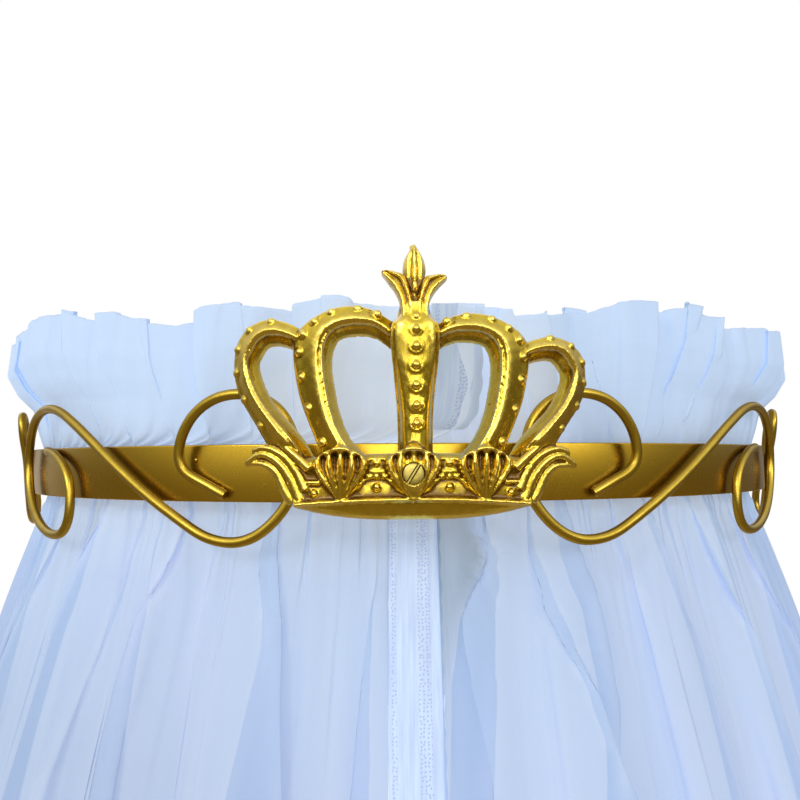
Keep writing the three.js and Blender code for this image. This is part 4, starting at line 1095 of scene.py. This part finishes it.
rod_radius = 231.8
rod_height = -5.0
rod_half = 3.0
rod_end_angle = 88.3
rod_steps = 321
rod_arc = np.radians(rod_end_angle) * band_radius
rod_route = on_band(
    np.linspace(-rod_arc, rod_arc, rod_steps), rod_radius, np.full(rod_steps, rod_height))
curtain_rod = piece_of("curtain_rod_bar", [loft(bent_rod(rod_route, rod_half, 5, sides=24))], 50)
curtain_rod.data.materials.append(zinc)
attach(curtain_rod, "curtain_set")
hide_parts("curtain_rod")

# ---------------------------------------------------------------------------------------------
# The voile panels: two lengths of sheer polyester voile, each cut 0.86 m wide. The top is turned
# back and sewn twice, which leaves a pocket for the rod and a doubled frill above it; gathered on
# the rod, the cloth falls in small pleats that merge into a few deep folds.

header_height = 77.0
cloth_drop = 1700.0
panel_side_angle = 84.2
pocket_top = 3.0
pocket_bottom = -13.0
cloth_outset = 150.0
cloth_outset_height = 460.0
cloth_outset_top = 27.0
fold_depth = 15.0
panel_folds = 6
panel_flat_width = 0.86
panel_columns = 420
level_heights = np.array([
    -1700, -890, -468.5, -198.6, -88.9, -46.7, -26.5, -13, 3, 11.9, 37.0, 57.8, 77])
level_fold = np.array([1, 1, 1, 0.53, 0.33, 0.26, 0.22, 0.17, 0.17, 0.2, 0.22, 0.36, 0.42])
level_phase_step = 0.12
level_phase = (np.arange(len(level_heights)) * level_phase_step)[::-1]
gathers = 43
gather_push = 1.3
gather_lift = 1.5
middle_folds = 13
frill_lean = 15.0
left_lap_lift = 4.6
right_lap_sink = 1.2
ply_window = 2.0


def cloth_radius(height):
    """The cloth's middle radius at a height: it hugs the rod, comes forward under and over the band,
    and swings out below with one minus an exponential of the depth."""
    close = np.interp(height, [-30, -24, -17, -12, -5, 3, 11.9, 24, 37, 57.8, 84],
                      [241.6, 240.8, 239, 237.2, 236.4, 237, 240.9, 243.8, 246, 247.4, 247.4])
    below = np.maximum(-height - cloth_outset_top, 0)
    return close + cloth_outset * (1 - np.exp(-below / cloth_outset_height))


def fold_wave(share, phase):
    """The main folds: a sine of the share across the panel whose pace drifts."""
    drift = 0.9 * np.sin(2 * np.pi * (1.3 * share + 0.2 * phase))
    return 2 * np.pi * panel_folds * share + drift + phase


# Knife pleats: each lies at (height, angle in degrees) stops of its visible edge, hides a tuck of
# cloth in millimetres at (height, tuck) stops, and its edge faces the front (-1) or the wall (1).
right_pleats = [
    (-1, [(84, 9.5), (20, 9.0), (-15, 7.4), (-24, 7.3), (-38, 8.3), (-62, 5.2), (-88, 3.5), (-140, 3.0),
          (-400, 3.0)],
     [(84, 10), (20, 9), (-13, 9), (-38, 12), (-62, 20), (-90, 27), (-200, 25), (-500, 9), (-900, 0)], 5.0),
    (1, [(84, 11.9), (20, 13.5), (-15, 13.0), (-35, 13.2), (-73, 15.8), (-94, 17.0), (-140, 18.0),
         (-500, 19)],
     [(84, 8), (20, 7), (0, 3), (-20, 5), (-60, 10), (-100, 9), (-250, 6), (-600, 0)], 3.2),
    (1, [(84, 14.4), (20, 16.2), (-15, 17.2), (-34, 17.6), (-62, 19.8), (-100, 20.2), (-142, 19.6),
         (-600, 20)],
     [(84, 6), (20, 6), (0, 4), (-20, 9), (-60, 13), (-140, 14), (-300, 9), (-700, 0)], 3.4),
    (1, [(84, 20.0), (55, 20.4), (15, 24.0), (-20, 24.0), (-80, 25.0), (-200, 25)],
     [(84, 15), (40, 12), (10, 6), (-10, 5), (-50, 4), (-140, 0)], 4.0),
    (1, [(84, 28.8), (50, 28.4), (15, 27.6), (-20, 29.0), (-80, 31.5), (-200, 32)],
     [(84, 16), (40, 12), (10, 6), (-10, 5), (-60, 6), (-140, 5), (-400, 0)], 4.0),
    (1, [(84, 36.4), (50, 34.0), (15, 31.2), (-20, 33), (-200, 36)],
     [(84, 12), (40, 10), (10, 5), (-10, 4), (-60, 3), (-140, 0)], 3.6),
    (1, [(84, 40.0), (50, 38.2), (15, 35.0), (-20, 38), (-80, 41), (-300, 43)],
     [(84, 9), (40, 8), (10, 5), (-10, 6), (-60, 8), (-200, 7), (-500, 0)], 3.6),
    (1, [(84, 52), (50, 50), (15, 47), (-20, 49), (-100, 53), (-300, 55)],
     [(84, 8), (40, 7), (10, 5), (-10, 6), (-80, 6), (-300, 5), (-600, 0)], 4.0),
    (1, [(84, 64.5), (50, 63), (15, 60), (-20, 61), (-100, 65), (-300, 67)],
     [(84, 14), (40, 11), (10, 5), (-10, 5), (-80, 7), (-300, 6), (-600, 0)], 4.0),
    (1, [(84, 74), (50, 73), (15, 72), (-20, 73), (-100, 75), (-300, 76)],
     [(84, 10), (40, 8), (10, 5), (-10, 4), (-80, 5), (-300, 4), (-600, 0)], 4.0),
]
left_pleats = [
    (-1, [(84, 9.0), (20, 8.0), (-15, 3.3), (-45, 3.1), (-60, 3.5), (-95, 3.9), (-140, 4.6), (-400, 6)],
     [(84, 5), (20, 4), (0, 3), (-20, 5), (-60, 8), (-140, 10), (-400, 6), (-800, 0)], 2.6),
    (1, [(84, 12.5), (20, 12.0), (-15, 10.6), (-60, 11.6), (-140, 12.8), (-400, 13)],
     [(84, 8), (40, 5), (10, 3), (-20, 4), (-60, 4), (-140, 5), (-400, 0)], 4.0),
    (1, [(84, 18.4), (20, 17.0), (-15, 15.0), (-37, 15.6), (-75, 15.4), (-138, 16.1), (-500, 16.5)],
     [(84, 7), (40, 6), (10, 4), (-15, 9), (-60, 17), (-140, 24), (-350, 18), (-700, 0)], 4.4),
    (1, [(84, 24.6), (60, 24.0), (15, 22.2), (-20, 20.5), (-80, 22.6), (-200, 24)],
     [(84, 11), (40, 8), (10, 5), (-10, 4), (-60, 3), (-140, 0)], 5.0),
    (1, [(84, 31.0), (50, 29.8), (15, 27.6), (-20, 25.4), (-66, 29.0), (-95, 29.6), (-140, 29.9), (-400, 30)],
     [(84, 8), (40, 7), (10, 5), (-10, 5), (-60, 9), (-100, 13), (-160, 18), (-400, 14), (-700, 0)], 4.6),
    (1, [(84, 37.6), (50, 36.2), (15, 34.2), (-20, 33), (-41, 34), (-140, 37)],
     [(84, 9), (40, 7), (10, 5), (-10, 5), (-60, 6), (-140, 3), (-300, 0)], 4.4),
    (1, [(84, 45.0), (50, 43.6), (15, 41.0), (-20, 40), (-80, 43), (-300, 45)],
     [(84, 10), (40, 8), (10, 5), (-10, 6), (-60, 8), (-200, 8), (-500, 0)], 4.4),
    (1, [(84, 54.6), (50, 53), (15, 50.0), (-20, 50), (-100, 54), (-300, 56)],
     [(84, 8), (40, 7), (10, 5), (-10, 6), (-80, 6), (-300, 6), (-600, 0)], 4.4),
    (1, [(84, 63.8), (50, 63), (15, 61), (-20, 61), (-100, 64), (-300, 66)],
     [(84, 11), (40, 10), (10, 5), (-10, 5), (-80, 6), (-300, 6), (-600, 0)], 4.4),
    (1, [(84, 73), (50, 72), (15, 71), (-20, 72), (-100, 74), (-300, 75)],
     [(84, 9), (40, 8), (10, 5), (-10, 4), (-80, 5), (-300, 4), (-600, 0)], 4.4),
]
# The frill's top edge, as (angle, height) stops: facets with pointed corners on the right, soft
# lobes on the left.
right_top = [
    (0, 74), (2.5, 74), (7, 75.6), (11.5, 73.4), (12.3, 70.5), (14.2, 73.2), (15.0, 71), (19.6, 77.6),
    (20.6, 74.2), (24, 80.5), (28.4, 82.4), (29.4, 77), (36, 84), (37.0, 78), (39.6, 78), (40.6, 73.5),
    (50, 78), (51, 76), (63.6, 81), (65.0, 73), (73.6, 76), (75, 70), (84.2, 67)]
left_top = [
    (-6.6, 74.5), (-4, 75.4), (-2, 75.6), (2, 75), (5, 76), (8, 80), (10, 79.5), (13.2, 74), (17.3, 77.4),
    (19.6, 79), (22, 78), (27, 70.5), (32.4, 75.5), (34.6, 79.5), (36.6, 80), (38.2, 77), (41.5, 79.5),
    (43.6, 86), (46, 84), (53, 82.5), (55, 81), (61.6, 85), (63.8, 78), (70.4, 80), (73.6, 71), (84.2, 67)]


def stops_at(stops, heights):
    """Straight interpolation between (height, value) stops given from the top down."""
    high, value = np.array(stops[::-1], float).T
    return np.interp(heights, high, value)


def make_panel(side, pleats, top_edge, front_edge, sheer, seed):
    """A panel: rows of heights by columns across the cloth. A column's place along the band is its
    even share of it, moved by every pleat's S fold, by the small gathers at the rod and by the main
    folds; its radius is the cloth's, moved by the same three. plies tells how much cloth lies over
    each point: a count of all columns that land within a window. On the sheer front it is made
    less, down below zero, to carry a painted shade that greys the cloth there; sheer sets its strength."""
    across = np.linspace(0, 1, panel_columns)[None]
    # rows of the front: heading, pocket, gathers, and the skirt's ever wider ones; then the turned back
    front = np.concatenate([
        np.linspace(header_height, pocket_top, 42), np.linspace(pocket_top, -40, 26)[1:],
        np.linspace(-40, -190, 46)[1:], -190 - (cloth_drop - 190) * np.linspace(0, 1, 48)[1:] ** 1.25])
    back = np.concatenate([
        np.linspace(pocket_bottom, pocket_top, 8)[:-1], np.linspace(pocket_top, header_height, 22)])
    nominal = np.concatenate([back, front])[:, None]
    is_back = np.concatenate([np.ones(len(back)), np.zeros(len(front))])[:, None]

    radius = cloth_radius(nominal)
    start = np.radians(stops_at(front_edge, nominal)) * band_radius
    end = math.radians(panel_side_angle) * band_radius
    arc = start + (end - start) * across
    pushed = np.zeros_like(arc)
    lifted = np.zeros_like(arc)
    sheer_front_shade = np.ones_like(arc)
    steepest_share = 0.607  # of a tuck, the push at the S fold's turning points: exp(-1/2)
    for number, (faces, edge_stops, tuck_stops, width) in enumerate(pleats):
        tuck = stops_at(tuck_stops, nominal)
        edge = np.radians(stops_at(edge_stops, nominal)) * band_radius
        middle = edge - faces * (steepest_share * tuck - width)
        at = (arc - middle) / width
        pushed += -tuck * at * np.exp(-at ** 2 / 2)
        step = np.tanh(at) * np.exp(-np.abs(at) / 3.4)
        lifted += -faces * step * (0.7 + 0.10 * tuck) * np.clip(tuck / 6, 0, 1)
        if number == 0:
            # Painted shade: how much the first pleat's sheer front is greyed, taken off its plies below.
            sheer_front_shade = np.clip(0.5 - 1.4 * at, 0, 1) * np.clip((-8 - nominal) / 8, 0, 1) * sheer
            sheer_front_shade = sheer_front_shade * np.interp(nominal, [-130, -90, -50], [0.1, 0.35, 1])

    # small gathers: strongest at the rod, each running out at its own length
    place = across + 0.006 * ripples(across * 7, seed + 1, 0.9)
    turn = 2 * np.pi * gathers * place + 0.9 * ripples(across * 9 + nominal / 160, seed + 2, 0.7)
    own = 0.62 + 0.38 * ripples(across * 20, seed + 3, 0.9)
    run = 22 + 30 * (1 + ripples(across * 12, seed + 4, 0.8))
    over = np.maximum(nominal - pocket_top, 0)
    under = np.maximum(pocket_bottom - nominal, 0)
    fade_out = np.exp(-over / (0.4 * run)) * np.exp(-under / run)
    pushed += gather_push * np.sin(2 * turn) * own * fade_out
    lifted += gather_lift * np.cos(turn) * own * fade_out

    # middle folds: a second, slower set that carries the gathers over into the main folds
    slower = 2 * np.pi * middle_folds * across + 1.8 * ripples(across * 5 + nominal / 700, seed + 5, 0.8)
    carried = np.interp(
        nominal, [-900, -350, -90, -30, -13, 3, 30, 77], [0.0, 3.2, 2.6, 1.3, 0.5, 0.5, 1.4, 2.6])
    uneven = 0.6 + 0.4 * ripples(across * 8 + 3, seed + 6, 0.7)
    pushed += 0.8 * carried * np.sin(2 * slower) * uneven
    lifted += carried * np.cos(slower) * uneven

    # main folds, as in the CAD solid
    fold = fold_depth * np.interp(nominal, level_heights, level_fold)
    main = fold_wave(1 - across, np.interp(nominal, level_heights, level_phase))
    lifted += fold * np.sin(main) * np.where(nominal < -20, 0.92, 0.6)
    pushed += np.clip((-60 - nominal) / 200, 0, 1) * 0.45 * fold * np.sin(2 * main)

    settled = np.clip(np.minimum(across * 24, (1 - across) * 30), 0, 1)
    moved = arc + pushed * settled
    angle = moved / band_radius
    lean_from, lean_over = 20, 38
    sideways = np.clip((np.degrees(angle) - lean_from) / lean_over, 0, 1)
    sideways = sideways ** 2 * (3 - 2 * sideways)
    lean = frill_lean * np.interp(nominal, [11.9, 37, 46, 57.8, 77], [0, 0.1, 0.65, 1, 0.85]) * sideways
    layer_gap = np.interp(nominal, [-13, -9, -5, 0, 4, 12, 77], [0.4, 7.5, 9.2, 8.2, 5.0, 2.6, 2.0])
    ply = np.interp(nominal, [-13, -9, 2, 6], [1, 0.75, 0.75, 1])
    lap = np.clip((2.4 - np.degrees(angle)) / 3.0, 0, 1) * np.clip((nominal - 12) / 10, 0, 1)
    lapped = left_lap_lift * lap if side < 0 else -right_lap_sink * lap
    out = radius + lifted * ply + lean - is_back * layer_gap + lapped

    # the frill's rows are stretched to its uneven top edge
    edge_angle, edge_height = np.array(top_edge, float).T
    top = np.interp(np.degrees(arc / band_radius), edge_angle, edge_height)
    top = top + 0.5 * ripples(across * 30, seed + 7, 0.8)
    share = np.clip((nominal - pocket_top) / (header_height - pocket_top), 0, 1)
    up = nominal + share ** 1.3 * (top - header_height)
    places = np.stack([side * out * np.sin(angle), ring_centre - out * np.cos(angle), up], -1)

    # the plies over a point: the columns, drawn five times as close, that fall into its window
    rows = len(nominal)
    closer = panel_columns * 5
    fine = np.linspace(0, panel_columns - 1, closer)
    lower = np.minimum(fine.astype(int), panel_columns - 2)
    between = moved[:, lower] + (moved[:, lower + 1] - moved[:, lower]) * (fine - lower)
    cells = int((moved.max() - moved.min()) / ply_window) + 2
    row_start = np.arange(rows)[:, None] * cells
    cell = ((between - moved.min()) / ply_window).astype(int)
    count = np.bincount((row_start + cell).ravel(), minlength=rows * cells).reshape(rows, cells)
    blur = np.array([1, 2, 3, 2, 1]) / 9
    count = np.apply_along_axis(np.convolve, 1, count, blur, "same")
    usual = ply_window * closer / (end - start)
    plies = np.take_along_axis(count, ((moved - moved.min()) / ply_window).astype(int), 1) / usual
    plies = np.clip((plies - 0.35) / 2.0, 0, 1) + np.clip((nominal - pocket_bottom) / 10, 0, 1) * 0.25
    return places, np.clip(plies, 0, 1) - sheer_front_shade


def cloth_piece(name, places, plies, flat_width):
    """A sheet from a grid of places, with a UV map of the flat cloth in metres, across it and down
    the middle column's length, and the attribute plies."""
    rows, columns = places.shape[:2]
    mesh = bpy.data.meshes.new(name)
    mesh.from_pydata((places.reshape(-1, 3) * 0.001).tolist(), [], grid_quads(rows, columns).tolist())
    mesh.shade_smooth()
    steps = np.linalg.norm(np.diff(places[:, columns // 2], axis=0), axis=1) * 0.001
    down = np.concatenate([[0], np.cumsum(steps)])
    flat = np.stack(np.broadcast_arrays(np.linspace(0, flat_width, columns)[None], down[:, None]), -1)
    corners = np.zeros(len(mesh.loops), int)
    mesh.loops.foreach_get("vertex_index", corners)
    layer = mesh.uv_layers.new(name="flat_cloth")
    layer.data.foreach_set("uv", flat.reshape(-1, 2)[corners].astype(np.float32).ravel())
    written = mesh.attributes.new("plies", "FLOAT", "POINT")
    written.data.foreach_set("value", np.broadcast_to(plies, (rows, columns)).astype(np.float32).ravel())
    sheet = bpy.data.objects.new(name, mesh)
    scene.collection.objects.link(sheet)
    return sheet


# Weave: warp and weft threads, with thicker slub threads that make faint lines both ways.
weave, given, weave_out = group_of(
    "voile_weave", {"Threads": 1800.0, "Slubs": 260.0},
    {"Cover": "NodeSocketFloat", "Height": "NodeSocketFloat"})
flat_map = node_of(weave, "ShaderNodeUVMap", uv_map="flat_cloth").outputs[0]
threads, slubs = [], []
for direction, stretch in (("X", (1, 0.02, 1)), ("Y", (0.02, 1, 1))):
    wave = node_of(weave, "ShaderNodeTexWave", {
        "Vector": flat_map, "Scale": given["Threads"], "Distortion": 0.0}, bands_direction=direction)
    slub = node_of(weave, "ShaderNodeTexNoise", {
        "Vector": vector_of(weave, "MULTIPLY", flat_map, stretch), "Scale": given["Slubs"],
        "Detail": 3.0, "Roughness": 0.7})
    threads.append(wave.outputs["Fac"])
    slubs.append(slub.outputs["Fac"])
cover = math_of(
    weave, "MULTIPLY_ADD", math_of(weave, "MAXIMUM", *threads), 0.5, math_of(weave, "ADD", *slubs))
feed(weave, weave_out, {"Cover": cover, "Height": cover})

voile, tree, shader = bare_material("white_voile")
where = tree.nodes.new("ShaderNodeTexCoord").outputs
place = node_of(tree, "ShaderNodeSeparateXYZ", {0: where["Object"]}).outputs
facing = node_of(tree, "ShaderNodeSeparateXYZ", {0: where["Normal"]}).outputs
cloth_plies = node_of(tree, "ShaderNodeAttribute", attribute_name="plies").outputs["Fac"]
tint = node_of(tree, "ShaderNodeTexNoise", {"Vector": where["Object"], "Scale": 9.0, "Detail": 1.0})
tint_share = range_of(tree, tint.outputs["Fac"], 0.38, 0.62)
skirt_tone = mix_of(tree, tint_share, (0.51, 0.635, 0.83, 1), (0.53, 0.62, 0.84, 1))
# Painted shade: cloth lying in a single ply is painted darker and bluer than cloth in several plies, as the
# shade behind it seen through.
ply_shaded_tone = mix_of(tree, cloth_plies, (0.395, 0.525, 0.765, 1), skirt_tone)
# Painted light: the doubled heading is painted whiter than the single cloth below the rod.
heading_share = range_of(tree, place["Z"], -0.05, 0.01)
heading_lit_tone = mix_of(tree, heading_share, ply_shaded_tone, (0.555, 0.685, 0.87, 1))
# Less of the room's light gets to the left panel's skirt, the lower the less.
lower_left = math_of(
    tree, "MULTIPLY", range_of(tree, place["Z"], -0.04, -0.13), range_of(tree, place["X"], 0.0, -0.12))
dimmed = node_of(tree, "ShaderNodeVectorMath", {
    0: heading_lit_tone, "Scale": math_of(tree, "MULTIPLY_ADD", lower_left, -0.13, 1.0)}, operation="SCALE")
# Painted shade: plies run below zero where a panel's front is sheer, the right one's most, and there the
# cloth is painted greyer.
sheer_shade_share = math_of(tree, "MULTIPLY", cloth_plies, -1.0)
sheer_shaded_tone = mix_of(tree, sheer_shade_share, dimmed.outputs[0], (0.22, 0.32, 0.44, 1))
# Painted reflection: in the metal's gloss the cloth's colour is painted a warm grey.
mirrored = tree.nodes.new("ShaderNodeLightPath").outputs["Is Glossy Ray"]
tone_with_painted_reflection = mix_of(tree, mirrored, sheer_shaded_tone, (0.40, 0.33, 0.23, 1))
# Painted light: the cloth behind the crown's arches is painted brighter and glows more, on the side that
# faces the crown, as if the crown's bright back lit it.
painted_light_middle = (0, 0, 0.032)
painted_light_half_width = 0.08
painted_light_half_height = 0.05
off_middle = vector_of(tree, "SUBTRACT", where["Object"], painted_light_middle)
off_crown = vector_of(tree, "MULTIPLY", off_middle, (1 / painted_light_half_width, 0, 1 / painted_light_half_height))
painted_light_falloff = range_of(tree, vector_of(tree, "LENGTH", off_crown), 1.2, 0.7, smooth=True)
painted_light_share = math_of(tree, "MULTIPLY", painted_light_falloff, range_of(tree, facing["Y"], 0.0, -0.3))
painted_light_tone = mix_of(tree, painted_light_share, tone_with_painted_reflection, (0.62, 0.66, 0.72, 1))
weaving = node_of(tree, "ShaderNodeGroup", {"Threads": 1500.0, "Slubs": 170.0}, node_tree=weave).outputs
cover_share = range_of(tree, weaving["Cover"], 0.7, 1.8, -0.03, 0.03)
# Painted glow: the whole cloth glows faintly in its own colour, and more on the painted light behind the
# crown.
feed(tree, shader, {
    "Base Color": tone_with_painted_reflection, "Roughness": 0.8, "Specular IOR Level": 0.1,
    "Alpha": math_of(tree, "ADD", range_of(tree, cloth_plies, 0.0, 1.0, 0.84, 0.89), cover_share),
    "Emission Color": painted_light_tone,
    "Emission Strength": math_of(tree, "MULTIPLY_ADD", painted_light_share, 0.23, 0.26)})
relief(tree, shader, weaving["Height"], 0.05, 0.0002)

# The front edge of each panel as (height, angle) stops, from the top down: the left frill laps
# over the right one, and both hang clear of the front hook.
left_front = [
    (84, -6.6), (40, -6.3), (26, -5.9), (20, -5.0), (15, -2.5), (12.5, 0.6), (9.5, 2.6), (6, 2.78),
    (-13, 2.78), (-16, 2.3), (-200, 2.2), (-500, 1.9), (-1700, 1.68)]
right_front = [
    (84, 1.6), (26, 1.8), (12, 2.6), (6, 2.78), (-15, 2.78), (-200, 2.3), (-500, 1.9), (-1700, 1.68)]
for panel_name, side, pleats, top_edge, front_edge, sheer, seed in (
        ("left", -1, left_pleats, left_top, left_front, 0.35, 40),
        ("right", 1, right_pleats, right_top, right_front, 1.0, 60)):
    places, plies = make_panel(side, pleats, top_edge, front_edge, sheer, seed)
    panel = cloth_piece(f"voile_panel_{panel_name}", places, plies, panel_flat_width)
    panel.data.materials.append(voile)
    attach(panel, "curtain_set")
    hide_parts(f"curtain_panel_{panel_name}")

# ---------------------------------------------------------------------------------------------
# The lace trim: a 23 mm strip of white embroidered net sewn down the left panel's front edge, and a
# shorter run of it up the frill. It has a scalloped edge, rows of small eyelets and long stitching.

lace_width = 23.0
lace_middle = 1.3
scallop_pitch = 11
scallop_depth = 0.8

# Eyelets: small round holes in two rows along the strip, read from the flat cloth's map.
eyelets, given, eyelets_out = group_of(
    "lace_eyelets", {"Cells": 620.0, "Wide row": 0.0155, "Narrow row": 0.0026},
    {"Holes": "NodeSocketFloat", "Stitches": "NodeSocketFloat"})
flat_map = node_of(eyelets, "ShaderNodeUVMap", uv_map="flat_cloth").outputs[0]
across_lace = node_of(eyelets, "ShaderNodeSeparateXYZ", {0: flat_map}).outputs["X"]
dots = node_of(eyelets, "ShaderNodeTexVoronoi", {
    "Vector": flat_map, "Scale": given["Cells"], "Randomness": 0.55}, voronoi_dimensions="2D")
dot = range_of(eyelets, dots.outputs["Distance"], 0.34, 0.16, smooth=True)
rows_of_dots = []
for row_name, reach in (("Wide row", 0.0026), ("Narrow row", 0.0011)):
    off = math_of(eyelets, "ABSOLUTE", math_of(eyelets, "SUBTRACT", across_lace, given[row_name]))
    rows_of_dots.append(math_of(eyelets, "LESS_THAN", off, reach))
stitches = node_of(eyelets, "ShaderNodeTexNoise", {
    "Vector": vector_of(eyelets, "MULTIPLY", flat_map, (1, 0.06, 1)), "Scale": 420.0,
    "Detail": 3.0, "Roughness": 0.6})
feed(eyelets, eyelets_out, {
    "Holes": math_of(eyelets, "MULTIPLY", math_of(eyelets, "MAXIMUM", *rows_of_dots), dot),
    "Stitches": stitches.outputs["Fac"]})

lace_white, tree, shader = bare_material("white_lace")
pattern = node_of(tree, "ShaderNodeGroup", node_tree=eyelets).outputs
stitch_share = range_of(tree, pattern["Stitches"], 0.36, 0.62)
thread_tone = mix_of(tree, stitch_share, (0.49, 0.60, 0.85, 1), (0.57, 0.71, 0.92, 1))
# Painted shade: the eyelets are not cut but painted a darker blue-grey, as the shade seen through them.
lace_tone = mix_of(tree, pattern["Holes"], thread_tone, (0.40, 0.48, 0.72, 1))
# Painted glow: the lace glows faintly in its own colour.
feed(tree, shader, {
    "Base Color": lace_tone, "Roughness": 0.8, "Specular IOR Level": 0.1, "Alpha": 0.96,
    "Emission Color": lace_tone, "Emission Strength": 0.3})
relief(tree, shader, pattern["Stitches"], 0.3, 0.0004)


def lace_strip(name, down, across_arc, out):
    """A strip of lace from its rows' heights, its columns' places along the arc and its radius."""
    places = np.stack(np.broadcast_arrays(
        out * np.sin(across_arc), ring_centre - out * np.cos(across_arc), down), -1)
    strip = cloth_piece(name, places, 1.0, lace_width * 0.001)
    strip.data.materials.append(lace_white)
    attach(strip, "curtain_set")
    return strip


def lace_edges(down, across):
    """How far a lace column lies off its even place: the outer edge is scalloped, and the whole strip
    wanders a little."""
    scallops = scallop_depth * np.abs(np.sin(np.pi * down / scallop_pitch)) * np.clip(across, 0, 1) ** 4
    return scallops + 0.5 * np.sin(down / 60)


lace_top = -16
lace_close_rows = -200
lace_rows = np.linspace(0, 1, 150)[1:] ** 1.1
lace_down = np.concatenate([
    np.linspace(lace_top, lace_close_rows, 150),
    lace_close_rows - (cloth_drop + lace_close_rows) * lace_rows])[:, None]
lace_across = np.linspace(-1, 1, 31)[None]
lace_radius = cloth_radius(lace_down) + fold_depth * np.interp(lace_down, level_heights, level_fold) * np.sin(
    fold_wave(1.0, np.interp(lace_down, level_heights, level_phase)))
lace_arc = (lace_middle + lace_across * lace_width / 2 + lace_edges(lace_down, lace_across)) / lace_radius
lace_out = lace_radius + 0.35 * np.sin(lace_down / 7 + 3 * lace_across) + 0.8 * np.cos(2.1 * lace_across)
lace = lace_strip("lace_trim_strip", lace_down, lace_arc, lace_out)
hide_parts("lace_trim")

heading_foot = 19
heading_top = 75
heading_lift = 6.6
heading_down = np.linspace(heading_foot, heading_top, 60)[:, None]
heading_left = np.radians(-stops_at(left_front, heading_down)) - lace_width * 0.85 / band_radius
heading_arc = heading_left + (lace_across + 1) / 2 * lace_width / band_radius
heading_arc = heading_arc + lace_edges(heading_down, lace_across) / band_radius
heading_out = cloth_radius(heading_down) + heading_lift + 0.4 * np.sin(heading_down / 6 + 2 * lace_across)
heading_out = heading_out - np.clip((22 - heading_down) / 6, 0, 1) * 2
heading = lace_strip("lace_trim_heading", heading_down, heading_arc, heading_out)

# ---------------------------------------------------------------------------------------------
# The view layer is brought up to date.

bpy.context.view_layer.update()
